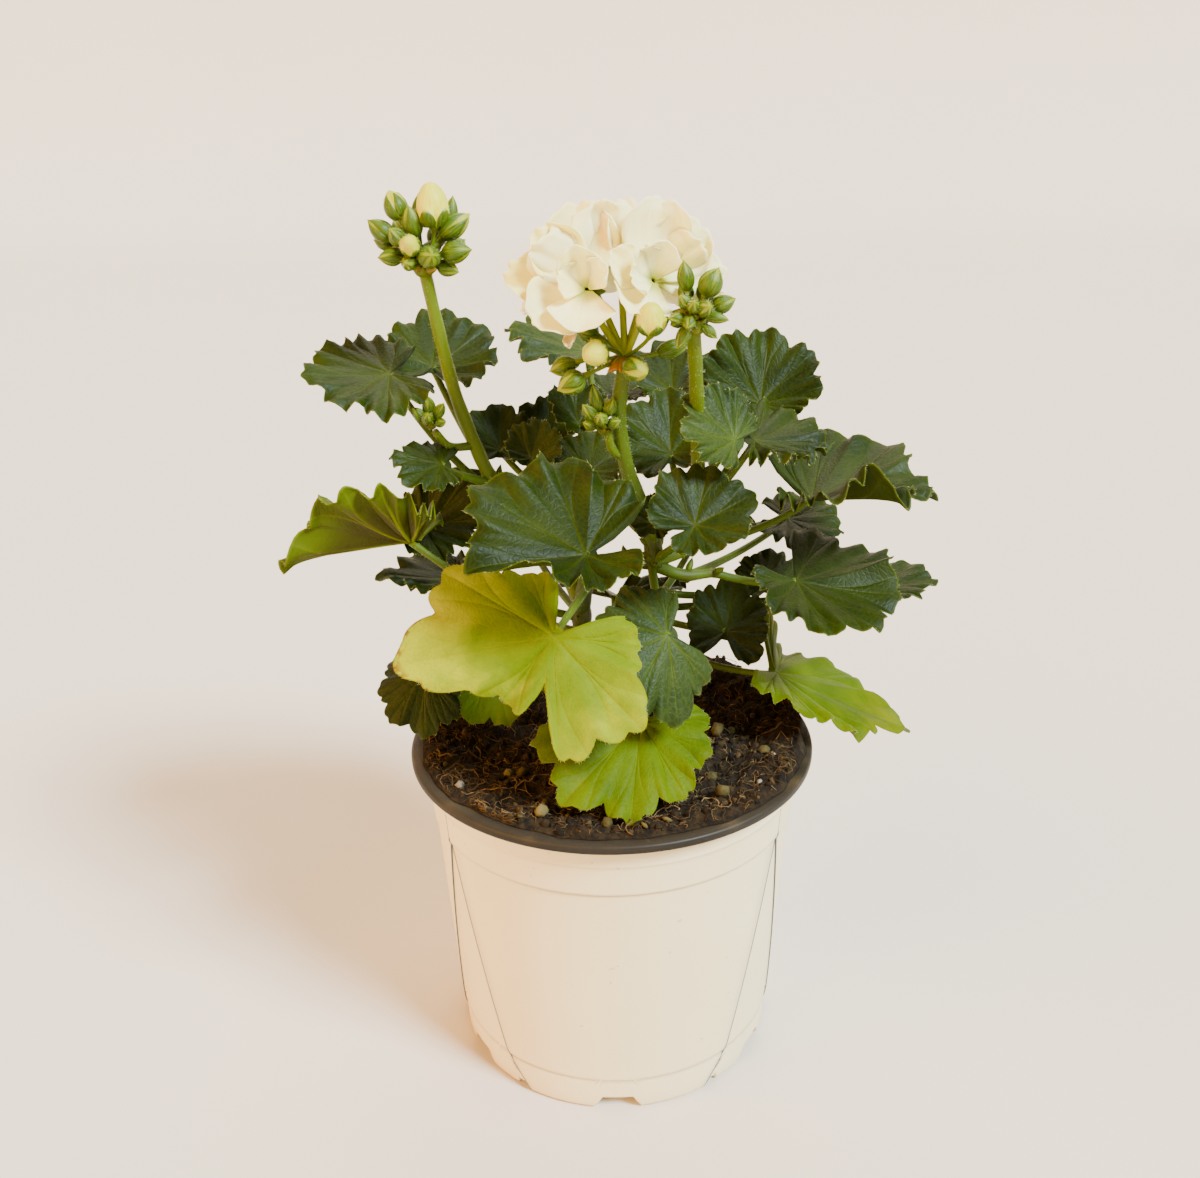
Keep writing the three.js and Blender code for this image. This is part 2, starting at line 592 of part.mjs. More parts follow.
function leafFrame({ hub, tip, roll }) {
  const origin = vec(hub);
  const midrib = vec(tip).sub(origin);
  const length = midrib.length();
  midrib.normalize();
  const upright = UP.clone().addScaledVector(midrib, -midrib.z).normalize();
  const aside = midrib.clone().cross(upright);
  const turn = radians(roll);
  const normal = upright.multiplyScalar(Math.cos(turn)).addScaledVector(aside, Math.sin(turn));
  return { origin, midrib, normal, side: midrib.clone().cross(normal), length };
}

// A point of the leaf's middle sheet at a lobe number and a share of the way to the margin
function sheetPoint(leaf, frame, lobe, share) {
  const { reach = PLAIN_REACH, lift = PLAIN_LIFT, spread, cut = NO_CUT } = leaf;
  const [cutAt, cutHalf, cutDepth] = cut;
  const angle = radians(spread) * (lobe - (LOBES - 1) / 2);
  const off = lobe - Math.round(lobe);
  const notch = (2 * off) ** 2;
  const inSinus = eased(Math.abs(lobe - (LOBES - 1) / 2), LOBES / 2, LOBES / 2 + 0.3);
  const gap = 1 - cutDepth * Math.exp(-(((lobe - cutAt) / cutHalf) ** 2));
  const outline = lobeValue(reach, lobe) * (1 - LOBE_NOTCH * notch) * gap;
  const radius = THREE.MathUtils.lerp(outline * frame.length, SINUS_RADIUS, inSinus) * share;
  const rise = lobeValue(lift, lobe) * share ** 1.5 + PLEAT * notch * share * (1 - inSinus);
  return frame.origin.clone()
    .addScaledVector(frame.midrib, radius * Math.cos(angle))
    .addScaledVector(frame.side, radius * Math.sin(angle))
    .addScaledVector(frame.normal, frame.length * rise * (1 - inSinus));
}

// The leaf's petiole, from a place on its stem to the hub, which it meets from below
function petioleCurve(leaf, frame) {
  const root = spotOn(leaf.from);
  const end = frame.origin.clone();
  const span = root.distanceTo(end);
  const arch = between(root, end, 0.6).addScaledVector(frame.normal, -0.15 * span);
  arch.add(vec(leaf.bend ?? [0, 0, 0]));
  return new THREE.QuadraticBezierCurve3(root, arch, end);
}

// Rings of points down the petiole, the first about the hub on the blade's underside
function petioleRings(leaf, frame) {
  const curve = petioleCurve(leaf, frame);
  const down = frame.normal.clone().negate();
  const rings = [];
  for (let i = 0; i < PETIOLE_STEPS; i += 1) {
    const share = i / (PETIOLE_STEPS - 1);
    const radius = THREE.MathUtils.lerp(PETIOLE_END, PETIOLE_ROOT, share);
    const centre = curve.getPointAt(1 - share);
    const along = i === 0 ? down : curve.getTangentAt(1 - share).negate();
    if (i === 0) centre.addScaledVector(down, BLADE / 2);
    const side = frame.side.clone().addScaledVector(along, -frame.side.dot(along)).normalize();
    const across = side.clone().cross(along);
    rings.push(Array.from({ length: PETIOLE_SIDES }, (_, k) => {
      const angle = (2 * Math.PI * k) / PETIOLE_SIDES;
      return centre.clone()
        .addScaledVector(across, -radius * Math.cos(angle))
        .addScaledVector(side, -radius * Math.sin(angle));
    }));
  }
  return rings;
}

// A leaf in one closed sheet: a blade with two like faces, and a petiole out of the lower one
function leafSolid(leaf) {
  const frame = leafFrame(leaf);
  const { outer, inner } = LOBE_STEPS[leaf.size];
  const turn = 360 / leaf.spread;
  const lobes = Array.from({ length: LOBES * outer + 1 }, (_, k) => k / outer - 0.5);
  lobes.push((turn + LOBES - 1) / 2);
  const columns = lobes.length;
  const coarse = lobes.map((_, k) => k).filter((k) => k % (outer / inner) === 0 || k === columns - 1);
  const step = 0.02;
  const sheetNormal = (lobe, share) => {
    const outward = sheetPoint(leaf, frame, lobe, share).sub(sheetPoint(leaf, frame, lobe, share - step));
    const ahead = sheetPoint(leaf, frame, lobe + step, share);
    const sideways = ahead.sub(sheetPoint(leaf, frame, lobe - step, share));
    const normal = sideways.cross(outward).normalize();
    return normal.dot(frame.normal) < 0 ? normal.negate() : normal;
  };
  const points = [];
  const put = (k, share, reach, way) => {
    const normal = k === columns - 1 ? frame.normal : sheetNormal(lobes[k], share);
    const place = sheetPoint(leaf, frame, lobes[k], share * reach);
    points.push(place.addScaledVector(normal, way * BLADE));
  };
  for (const way of [0.5, -0.5]) {
    if (way > 0) points.push(frame.origin.clone().addScaledVector(frame.normal, way * BLADE));
    coarse.forEach((k) => put(k, INNER_SHARE, 1, way));
    lobes.forEach((_, k) => put(k, 1, k % 2 === 1 ? 1 + TOOTH : 1, way));
  }
  const sheet = coarse.length + columns;
  const [high, low] = [1, 1 + sheet];
  const triangles = [];
  const face = (base, a, b, c) => {
    const [second, third] = base === low ? [c, b] : [b, c];
    triangles.push([base + a, base + second, base + third]);
  };
  coarse.forEach((from, i) => {
    const next = (i + 1) % coarse.length;
    const to = next === 0 ? columns : coarse[next];
    const middle = Math.ceil((from + to) / 2);
    triangles.push([0, high + i, high + next]);
    for (const base of [high, low]) {
      const rim = coarse.length;
      face(base, i, rim + (middle % columns), next);
      for (let k = from; k < to; k += 1) {
        face(base, rim + k, rim + ((k + 1) % columns), k < middle ? i : next);
      }
    }
  });
  for (let k = 0; k < columns; k += 1) {
    const a = high + coarse.length + k;
    const b = high + coarse.length + ((k + 1) % columns);
    triangles.push([a, a + sheet, b], [b, a + sheet, b + sheet]);
  }
  const neck = points.length;
  const rings = petioleRings(leaf, frame);
  points.push(...rings.flat());
  const neckOf = (k) => {
    const angle = k === columns - 1 ? 180 : leaf.spread * (lobes[k] - (LOBES - 1) / 2);
    return neck + (Math.round(((angle + 180) / 360) * PETIOLE_SIDES) % PETIOLE_SIDES);
  };
  coarse.forEach((from, i) => {
    const next = (i + 1) % coarse.length;
    const [near, far] = [neckOf(from), neckOf(coarse[next])];
    triangles.push([low + i, near, low + next]);
    if (near !== far) triangles.push([low + next, near, far]);
  });
  for (let i = 0; i < rings.length - 1; i += 1) {
    for (let k = 0; k < PETIOLE_SIDES; k += 1) {
      const a = neck + i * PETIOLE_SIDES + k;
      const b = neck + i * PETIOLE_SIDES + ((k + 1) % PETIOLE_SIDES);
      triangles.push([a, a + PETIOLE_SIDES, b], [b, a + PETIOLE_SIDES, b + PETIOLE_SIDES]);
    }
  }
  const root = neck + (rings.length - 1) * PETIOLE_SIDES;
  for (let k = 1; k < PETIOLE_SIDES - 1; k += 1) triangles.push([root, root + k + 1, root + k]);
  return solidOf(points, triangles);
}

// Buds: a thin pedicel from a root to the bud's base, then the bud itself up to its tip.
// Each is given by its base, its tip and its half width; a narrow one has one ring less.
const BUD_STATIONS = [0, 0.3, 0.72, 1];
const BUD_SHAPE = [0.4, 1, 0.86, 0.12];
const SMALL_BUD = 1.9;
const SMALL_STATIONS = [0, 0.5, 1];
const SMALL_SHAPE = [0.5, 1, 0.12];
const PEDICEL_RADIUS = 0.75;
const BUD_TIP_RADIUS = 0.3;
const BRACT_STATIONS = [0, 0.5, 1];
const BRACT_SHAPE = [0.4, 1, 0.12];
const BRACT_COUNT = 4;
const HEADS = [
  {
    name: "left", at: [-46.5, -4, 238.6], heart: 3, bracts: 5.5,
    buds: [
      [[-43, -5, 248.5], [-43.5, -5, 259], 4.1], [[-51.5, -4, 250.5], [-54, -3, 257], 2.8],
      [[-41.5, -4, 246], [-34.5, -3, 251], 2.4], [[-41, -7, 242], [-34, -8, 243], 2.3],
      [[-45, -8, 241], [-43, -13.5, 242.5], 2.3], [[-48.5, -8, 243.5], [-49, -13.5, 246], 2.5],
      [[-54, -4, 245.5], [-59.5, -4, 250], 2.2], [[-51, -6, 244.5], [-53.5, -9, 248.5], 1.8],
      [[-51.5, -6, 241.5], [-57, -8, 241.5], 1.9], [[-54.5, -2, 243.5], [-59, -1, 245], 1.4],
      [[-49, -7, 240], [-50, -11.5, 240.5], 1.7], [[-42.5, -5, 239], [-37.5, -7, 237.5], 1.8],
      [[-48, -5, 246], [-49, -6.5, 253.5], 2.2], [[-39.5, -1, 248], [-38.5, 0.5, 255], 1.5],
      [[-47.5, 0, 248], [-47.5, 2.5, 255.5], 1.6], [[-51, 1, 244], [-54.5, 4.5, 249], 2],
      [[-44, 2, 243], [-43, 7.5, 248], 2.2], [[-41, 0, 241], [-36.5, 3.5, 244], 2],
      [[-48, 2, 241], [-50.5, 6.5, 242], 1.8],
    ],
  },
  {
    name: "right", at: [21.2, -31, 227.4], heart: 2.4, bracts: 3.5,
    buds: [
      [[19.5, -30, 235.5], [18.5, -30, 242], 1.7], [[23.5, -32, 234.5], [26.5, -32, 240.5], 2.4],
      [[25.5, -32, 231.5], [30.5, -32, 233.5], 1.8], [[22.5, -34, 231.5], [24, -38.5, 233], 1.6],
      [[20.5, -34, 231.5], [20.5, -38, 234], 1.3], [[19.5, -33, 232], [17.5, -35, 235], 1.4],
      [[18.5, -34, 229.5], [14.8, -36, 230], 1.2], [[20, -34, 229.5], [19, -37.5, 228], 1.4],
      [[19.5, -33, 227.5], [17, -33, 222.5], 1.4], [[23.5, -33, 230], [28.8, -34, 229], 1.2],
      [[23, -33, 227.5], [26.2, -34, 224.8], 1.1], [[18.5, -30.5, 228.5], [15.5, -31, 227.5], 1.2],
      [[23, -28, 233], [25, -25.5, 237], 1.7], [[20, -28, 233], [18.5, -25, 236.5], 1.6],
      [[24.5, -29, 230], [28, -26, 231], 1.4],
    ],
  },
  {
    name: "young_left", at: [-47.3, -4, 197], heart: 1.5,
    buds: [
      [[-47.5, -4, 199.5], [-47.8, -5, 204.8], 1.5], [[-46, -5, 199], [-43.5, -6, 203], 1.3],
      [[-49, -5, 198.5], [-51.5, -6, 202], 1.3], [[-48, -6, 198.5], [-47.5, -9, 201], 1.3],
      [[-46, -5, 197.5], [-43.2, -7, 198.5], 1.1], [[-48, -2, 199], [-49, 0.5, 202], 1.2],
    ],
  },
  {
    name: "young_centre", at: [-1, -20, 199], heart: 1.5,
    buds: [
      [[-2, -20.5, 203.5], [-3.5, -21, 210.5], 1.5], [[0, -21, 203], [1.5, -22, 207.5], 1.4],
      [[-3, -21, 202], [-6, -22.5, 206], 1.5], [[-1.5, -22, 201.5], [-1.8, -25, 204], 1.5],
      [[0.5, -21, 200.5], [3, -23, 202], 1.3], [[-3, -21, 200], [-6, -22.5, 201.5], 1.3],
      [[-1, -18, 202], [0, -15.5, 206], 1.3],
    ],
  },
];

// A closed tube whose rings lie at places of their own, square to its run, with a radius for each
function tubeThrough(places, radii, sides) {
  const run = places.at(-1).clone().sub(places[0]);
  const spare = Math.abs(run.z) < Math.abs(run.x) + Math.abs(run.y) ? UP : vec([1, 0, 0]);
  const last = places.length - 1;
  const points = places.flatMap((place, i) => {
    const tangent = places[Math.min(i + 1, last)].clone().sub(places[Math.max(i - 1, 0)]).normalize();
    const across = tangent.clone().cross(spare).normalize();
    const other = tangent.cross(across);
    return Array.from({ length: sides }, (_, k) => {
      const angle = (2 * Math.PI * (k + 0.5)) / sides;
      return place.clone()
        .addScaledVector(across, radii[i] * Math.cos(angle))
        .addScaledVector(other, radii[i] * Math.sin(angle));
    });
  });
  const triangles = [];
  for (let k = 0; k < sides; k += 1) {
    const next = (k + 1) % sides;
    for (let a = 0; a < last * sides; a += sides) {
      triangles.push([a + k, a + next, a + k + sides], [a + next, a + next + sides, a + k + sides]);
    }
    if (k > 0 && next > 0) {
      triangles.push([0, next, k], [last * sides, last * sides + k, last * sides + next]);
    }
  }
  return solidOf(points, triangles);
}

// A bud on its pedicel, both thickened by grow where they serve as a cutter
function budSolid(root, [base, tip, width], grow = 0) {
  const [from, to] = [vec(base), vec(tip)];
  const small = width < SMALL_BUD;
  const stations = small ? SMALL_STATIONS : BUD_STATIONS;
  const shape = small ? SMALL_SHAPE : BUD_SHAPE;
  const places = [root, ...stations.map((share) => between(from, to, share))];
  const radii = [PEDICEL_RADIUS, ...shape.map((share) => Math.max(share * width, BUD_TIP_RADIUS))];
  return tubeThrough(places, radii.map((radius) => radius + grow), BUD_SIDES);
}

// Small bracts in a ring about the top of a flower stalk
function bracts(at, length) {
  return Array.from({ length: BRACT_COUNT }, (_, i) => {
    const angle = (2 * Math.PI * i) / BRACT_COUNT;
    const tip = at.clone().addScaledVector(vec([Math.cos(angle), Math.sin(angle), 0.35]), length);
    const places = BRACT_STATIONS.map((share) => between(at, tip, share));
    return tubeThrough(places, BRACT_SHAPE.map((share) => 0.28 * length * share), BUD_SIDES);
  });
}

// A closed head: buds all round the end of its stalk, with bracts below where it is grown
function headSolid({ at, heart, bracts: bractLength, buds }) {
  const root = vec(at);
  const core = new THREE.IcosahedronGeometry(heart, 0);
  core.translate(...at);
  return join([
    solidFrom(core),
    ...buds.map((bud) => budSolid(root, bud)),
    ...(bractLength ? bracts(root, bractLength) : []),
  ]);
}

// Open umbel: five double florets on their pedicels, with buds and bracts below
const UMBEL = [4.7, -20, 217.6];
const FLORETS = [
  {
    centre: [-4.6, -26, 235.6], axis: [-0.15, -0.88, 0.45],
    petals: [
      { turn: -8, lean: 84, length: 21, width: 18 },
      { turn: -42, lean: 72, length: 19, width: 14 },
      { turn: -80, lean: 84, length: 21, width: 13 },
      { turn: -124, lean: 76, length: 16, width: 17 },
      { turn: -176, lean: 66, length: 12, width: 17 },
      { turn: -20, lean: 38, length: 12, width: 11, panels: 2 },
    ],
  },
  {
    centre: [11.4, -26, 237.4], axis: [0.12, -0.88, 0.45],
    petals: [
      { turn: -16, lean: 92, length: 20.5, width: 13 },
      { turn: 8, lean: 74, length: 18, width: 17 },
      { turn: 44, lean: 84, length: 19, width: 16 },
      { turn: 80, lean: 92, length: 19, width: 13 },
      { turn: -66, lean: 66, length: 13, width: 11, panels: 2 },
      { turn: -148, lean: 68, length: 12, width: 16 },
      { turn: 20, lean: 36, length: 11, width: 11, panels: 2 },
    ],
  },
  { centre: [-6, -14, 239], axis: [-0.7, 0.55, 0.5], seed: 11 },
  { centre: [14, -13, 239], axis: [0.75, 0.5, 0.45], seed: 12 },
  { centre: [4, -12, 241], axis: [0, 0.85, 0.6], seed: 13 },
];
const UMBEL_BUDS = [
  [[-1, -24, 220.5], [-5, -29, 219.5], 3.2],
  [[10.8, -27, 226.5], [10.5, -29, 233.5], 3.6],
  [[5, -25, 216.5], [9.5, -30, 215.8], 2.9],
  [[-6, -23, 213.5], [-12, -25, 210.8], 2.6],
  [[-8, -20, 216.5], [-14, -20, 214.5], 2.1],
  [[13, -18, 218], [21, -15, 220], 1.9],
  [[-2, -20, 223], [-7.5, -20, 224.8], 1.9],
];
const PETAL_ROOT = 2.2;
const PETAL_MIDDLE = 0.62;
const PEDICEL_SHAPE = [0.5, 0.45, 0.45, 0.5, 1];
const CALYX_RADIUS = 1.8;
const UMBEL_BRACT = 4;
const HEART_RADIUS = 2.8;

// The petals of a floret whose own list isn't given: an outer and an inner ring
function ringedPetals(seed) {
  const draw = draws(seed);
  return Array.from({ length: 4 }, (_, i) => {
    const outer = i < 3;
    return {
      turn: 120 * i + 30 * draw(),
      lean: outer ? 76 + 12 * draw() : 42,
      length: outer ? 16 + 3 * draw() : 11,
      width: outer ? 15 : 9,
      panels: 2,
    };
  });
}

// A point of a petal's middle sheet, along its length and across from -1 to 1
function petalPoint({ length, width }, along, across) {
  const rounded = along * (1 - 0.16 * across * across);
  const half = 0.5 * width * (0.1 + 0.9 * Math.sin(Math.PI * 0.84 * along) ** 1.1);
  const cup = 0.16 * width * across * across * along;
  const arch = 0.16 * length * Math.sin(Math.PI * along);
  const ruffle = 0.035 * length * along * along * Math.sin(5 * across + width);
  return vec([half * across, length * rounded, cup - arch + ruffle]);
}

function petalSolid(petal, centre, axis) {
  const up = UP.clone().addScaledVector(axis, -axis.dot(UP)).normalize();
  const right = axis.clone().cross(up).negate();
  const turn = radians(petal.turn);
  const lean = radians(petal.lean);
  const radial = up.multiplyScalar(Math.cos(turn)).addScaledVector(right, Math.sin(turn));
  const along = axis.clone().multiplyScalar(Math.cos(lean)).addScaledVector(radial, Math.sin(lean));
  const face = axis.clone().multiplyScalar(Math.sin(lean)).addScaledVector(radial, -Math.cos(lean));
  const side = along.clone().cross(face);
  const frame = new THREE.Matrix4().makeBasis(side, along, face).setPosition(centre);
  const panels = petal.panels ?? 3;
  const columns = panels + 1;
  const rows = [PETAL_ROOT / petal.length, PETAL_MIDDLE, 1];
  const points = [];
  for (const way of [0.5, -0.5]) {
    for (const row of rows) {
      for (let k = 0; k < columns; k += 1) {
        const point = petalPoint(petal, row, (2 * k) / panels - 1);
        point.z += way * PETAL;
        points.push(point.applyMatrix4(frame));
      }
    }
  }
  const half = points.length / 2;
  const triangles = [];
  const panel = (a, b, c, d) => triangles.push([a, b, c], [a, c, d]);
  for (let row = 0; row < rows.length - 1; row += 1) {
    const a = row * columns;
    for (let k = 0; k < panels; k += 1) {
      const low = a + k;
      const high = low + columns;
      panel(low, low + 1, high + 1, high);
      panel(half + low, half + high, half + high + 1, half + low + 1);
    }
    const end = a + panels;
    panel(a, a + columns, half + a + columns, half + a);
    panel(half + end, half + end + columns, end + columns, end);
  }
  const top = (rows.length - 1) * columns;
  for (let k = 0; k < panels; k += 1) {
    panel(k, half + k, half + k + 1, k + 1);
    panel(top + k, top + k + 1, half + top + k + 1, half + top + k);
  }
  return solidOf(points, triangles);
}

function petalsSolid() {
  const parts = FLORETS.flatMap(({ centre, axis, petals, seed }) => {
    const facing = vec(axis).normalize();
    const heart = new THREE.IcosahedronGeometry(HEART_RADIUS, 0);
    heart.translate(...centre);
    const all = (petals ?? ringedPetals(seed)).map((petal) => petalSolid(petal, vec(centre), facing));
    return [solidFrom(heart), ...all];
  });
  return join(parts).simplify(PETAL / 3);
}

// The umbel's green: pedicels that end in a calyx behind each floret, buds and bracts
function umbelGreenSolid(grow) {
  const root = vec(UMBEL);
  const pedicels = FLORETS.map(({ centre, axis }) => {
    const seat = vec(centre).addScaledVector(vec(axis).normalize(), -1.6);
    const below = seat.clone().addScaledVector(vec(axis).normalize(), -5).addScaledVector(UP, -4);
    const curve = new THREE.QuadraticBezierCurve3(root, below, seat);
    return sweep(curve, PEDICEL_SHAPE.map((share) => share * CALYX_RADIUS + grow), BUD_SIDES);
  });
  const buds = UMBEL_BUDS.map((bud) => budSolid(root, bud, grow));
  return join([...pedicels, ...buds, ...bracts(root, UMBEL_BRACT)]);
}

// The finished part
const group = new THREE.Group();

function place(name, solid, material) {
  const { vertProperties, triVerts } = solid.getMesh();
  const geometry = new THREE.BufferGeometry();
  geometry.setAttribute("position", new THREE.BufferAttribute(vertProperties, 3));
  geometry.setIndex(new THREE.BufferAttribute(triVerts, 1));
  geometry.computeVertexNormals();
  const mesh = new THREE.Mesh(geometry, material);
  mesh.name = name;
  group.add(mesh);
}

const stemCutter = stemSolid(GAP);
place("pot", potSolid(), FINISHES.pot());
place("soil", soilSolid(), FINISHES.soil());
place("stem", stemSolid(0), FINISHES.stem());
for (const leaf of LEAVES) {
  place(`leaf_${leaf.name}`, skinOf(leafSolid(leaf).subtract(stemCutter)), FINISHES[leaf.tone]());
}

for (const head of HEADS) {
  place(`bud_head_${head.name}`, skinOf(headSolid(head).subtract(stemCutter)), FINISHES.bud());
}
place("umbel_green", skinOf(umbelGreenSolid(0).subtract(stemCutter)), FINISHES.bud());
place("umbel_petals", skinOf(petalsSolid().subtract(umbelGreenSolid(GAP))), FINISHES.petal());

export default group;
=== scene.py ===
"""Looks of a potted pelargonium: a white nursery pot, peat, hairy stems, scalloped leaves and a double white umbel.

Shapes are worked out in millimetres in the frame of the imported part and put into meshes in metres.
"""
import logging
import math
from dataclasses import dataclass, field
from enum import Enum

import bpy
import numpy as np
from mathutils import Matrix, Vector


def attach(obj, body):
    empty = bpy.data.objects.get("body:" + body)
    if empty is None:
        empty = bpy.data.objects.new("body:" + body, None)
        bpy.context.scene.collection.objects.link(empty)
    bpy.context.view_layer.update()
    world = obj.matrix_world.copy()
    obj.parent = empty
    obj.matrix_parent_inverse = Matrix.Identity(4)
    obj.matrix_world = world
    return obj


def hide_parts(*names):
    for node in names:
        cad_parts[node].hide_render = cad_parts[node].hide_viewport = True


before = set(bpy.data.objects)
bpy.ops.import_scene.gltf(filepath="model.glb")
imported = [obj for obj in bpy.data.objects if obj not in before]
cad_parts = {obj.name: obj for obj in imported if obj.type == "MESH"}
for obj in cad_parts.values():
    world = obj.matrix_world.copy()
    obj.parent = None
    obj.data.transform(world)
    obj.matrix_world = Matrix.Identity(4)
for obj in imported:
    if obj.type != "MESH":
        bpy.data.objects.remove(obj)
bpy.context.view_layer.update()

log = logging.getLogger("pelargonium")
Array = np.ndarray
Value = Array | float
Point = tuple[float, float, float]
Colour = tuple[float, float, float]
Socket = bpy.types.NodeSocket
Material = bpy.types.Material

MM = 0.001
BODY = "root"
UP = np.array([0.0, 0.0, 1.0])
TURN = 2 * math.pi
FRONT = -math.pi / 2
SPLINE_STEPS = 41
BEZIER_STEPS = 61
HAIR_WIDTHS = {"leaf": 0.08, "stem": 0.07, "bud": 0.06}


# Numbers and curves

def smooth(value: Value, low: float, high: float) -> Array:
    """Share of the way from low to high, eased at both ends as t*t*(3 - 2t)."""
    t = np.clip((np.asarray(value, float) - low) / (high - low), 0, 1)
    return t * t * (3 - 2 * t)


def mixed(a: Value, b: Value, share: Value) -> Array:
    """The value at a share of the way from a to b."""
    return a + (b - a) * share


def unit(vectors: Array) -> Array:
    """The vectors scaled to length one."""
    return vectors / np.maximum(np.linalg.norm(vectors, axis=-1, keepdims=True), 1e-9)


def stacked(*parts: Value) -> Array:
    """Numbers brought to one shape and put side by side along a new last axis."""
    return np.stack(np.broadcast_arrays(*parts), axis=-1)


def swing(angle: Value, across: Array, other: Array) -> Array:
    """The direction at an angle from one direction toward another that is square to it."""
    return np.cos(angle) * across + np.sin(angle) * other


def about_axis(radius: Value, angle: Array, height: Value) -> Array:
    """Points at a radius and an angle about the upright axis, at a height."""
    return stacked(radius * np.cos(angle), radius * np.sin(angle), height)


def full_turn(count: int) -> Array:
    """Angles at even steps round a circle."""
    return np.linspace(0, TURN, count, endpoint=False)


def bell(off: Array, width: Value) -> Array:
    """A bell curve: e to the minus square of the distance over the width."""
    return np.exp(-(off / width) ** 2)


def run_along(path: Array) -> Array:
    """Distance along a path from its start to each of its points."""
    return np.concatenate([[0], np.cumsum(np.linalg.norm(np.diff(path, axis=0), axis=1))])


def ripples(x: Array, y: Array, z: Value, size: float, seed: int, octaves: int = 4) -> Array:
    """Rough but smooth noise of a place.

    Each octave adds six sine waves in random directions, half as long and half as high as the one before.

    Args:
        x, y, z: the place, in mm.
        size: the longest wave, in mm.
        seed: picks the directions and phases.
        octaves: how many sizes of wave are added.

    Returns:
        Heights from about -1 to 1.
    """
    draw = np.random.default_rng(seed)
    total = np.zeros(np.broadcast(x, y, z).shape)
    for octave in range(octaves):
        for _ in range(6):
            way = unit(draw.normal(size=3)) * TURN * 2 ** octave / size
            total = total + np.sin(x * way[0] + y * way[1] + z * way[2] + draw.uniform(0, 6.3)) / 2 ** octave
    return total / 6


def even(path: Array, count: int) -> Array:
    """Points at equal distances along a path of many points."""
    run = run_along(path)
    stations = np.linspace(0, run[-1], count)
    return np.stack([np.interp(stations, run, path[:, k]) for k in range(3)], axis=1)


def spline(through: list[Point], count: int) -> Array:
    """A smooth path through places, at even steps.

    It is the centripetal Catmull-Rom curve: between two places a cubic whose end slopes weigh the
    neighbouring chords by the square roots of their lengths.

    Args:
        through: the places, in mm.
        count: how many points are returned.

    Returns:
        An array of count points.
    """
    knots = np.array(through, float)
    knots = np.vstack([2 * knots[0] - knots[1], knots, 2 * knots[-1] - knots[-2]])
    chords = np.sqrt(np.linalg.norm(np.diff(knots, axis=0), axis=1))[:, None]
    p0, p1, p2, p3 = knots[:-3], knots[1:-2], knots[2:-1], knots[3:]
    d0, d1, d2 = chords[:-2], chords[1:-1], chords[2:]
    slope1 = ((p1 - p0) / d0 - (p2 - p0) / (d0 + d1) + (p2 - p1) / d1) * d1
    slope2 = ((p2 - p1) / d1 - (p3 - p1) / (d1 + d2) + (p3 - p2) / d2) * d1
    t = np.linspace(0, 1, SPLINE_STEPS)[None, :, None]
    cubic = (
        p1[:, None] + slope1[:, None] * t
        + (-3 * p1 + 3 * p2 - 2 * slope1 - slope2)[:, None] * t ** 2
        + (2 * p1 - 2 * p2 + slope1 + slope2)[:, None] * t ** 3
    )
    return even(cubic.reshape(-1, 3), count)


def bezier(root: Array, bend: Array, tip: Array, count: int) -> Array:
    """A quadratic curve from root toward bend and on to tip, at even steps."""
    t = np.linspace(0, 1, BEZIER_STEPS)[:, None]
    return even((1 - t) ** 2 * root + 2 * t * (1 - t) * bend + t ** 2 * tip, count)


def axes_along(path: Array) -> tuple[Array, Array, Array]:
    """The tangents of a path and two directions across it, square to the world axis it follows least."""
    tangent = unit(np.gradient(path, axis=0))
    spare = np.eye(3)[np.argmin(np.abs(tangent).max(axis=0))]
    across = unit(np.cross(tangent, spare))
    return tangent, across, np.cross(tangent, across)


# Meshes

def grid_faces(rows: int, columns: int, closed: bool) -> Array:
    """Four-sided faces of a grid of points stored row by row, closed round its columns if asked."""
    r = np.arange(rows - 1)[:, None] * columns
    c = np.arange(columns if closed else columns - 1)[None, :]
    n = (c + 1) % columns
    return np.stack([r + c, r + n, r + columns + n, r + columns + c], axis=-1).reshape(-1, 4)


def fan_faces(pole: int, ring: Array) -> Array:
    """Three-sided faces from one point to a ring of points."""
    return np.stack([np.full(len(ring), pole), ring, np.roll(ring, -1)], axis=1)


def end_faces(rows: int, columns: int) -> Array:
    """The fans that close a grid's first and last rings, whose two poles are stored after the grid."""
    first, count = np.arange(columns), rows * columns
    return np.vstack([fan_faces(count, first)[:, ::-1], fan_faces(count + 1, count - columns + first)])


def repeated(faces: Array, count: int, step: int) -> Array:
    """The same faces for many copies of a shape, whose points are stored a step apart."""
    return (faces[None] + step * np.arange(count)[:, None, None]).reshape(-1, faces.shape[1])


@dataclass
class Shell:
    """A closed surface: points in mm, faces, each point's four marks and flat map place, and a finish number."""
    points: Array
    quads: Array
    tris: Array
    marks: Array | None = None
    flat: Array | None = None
    finish: int = 0

    def outward(self) -> "Shell":
        """The shell with its faces turned out, judged by the sign of its volume."""
        p = self.points
        volume = 0.0
        for faces in (self.quads[:, :3], self.quads[:, [0, 2, 3]], self.tris):
            volume += np.einsum("ij,ij->", p[faces[:, 0]], np.cross(p[faces[:, 1]], p[faces[:, 2]]))
        if volume < 0:
            self.quads, self.tris = self.quads[:, ::-1], self.tris[:, ::-1]
        return self


NO_QUADS = np.zeros((0, 4), int)
NO_TRIS = np.zeros((0, 3), int)
FACE_KINDS = ("quads", "tris")
SLANT = np.array([0.2, 0.3, 1.0])
HAIR_SUNK = 0.1


def with_ends(values: Array) -> Array:
    """The values of a grid as one list, with the first and the last once more for its two poles."""
    listed = values.reshape(-1, values.shape[-1])
    return np.vstack([listed, listed[:1], listed[-1:]])


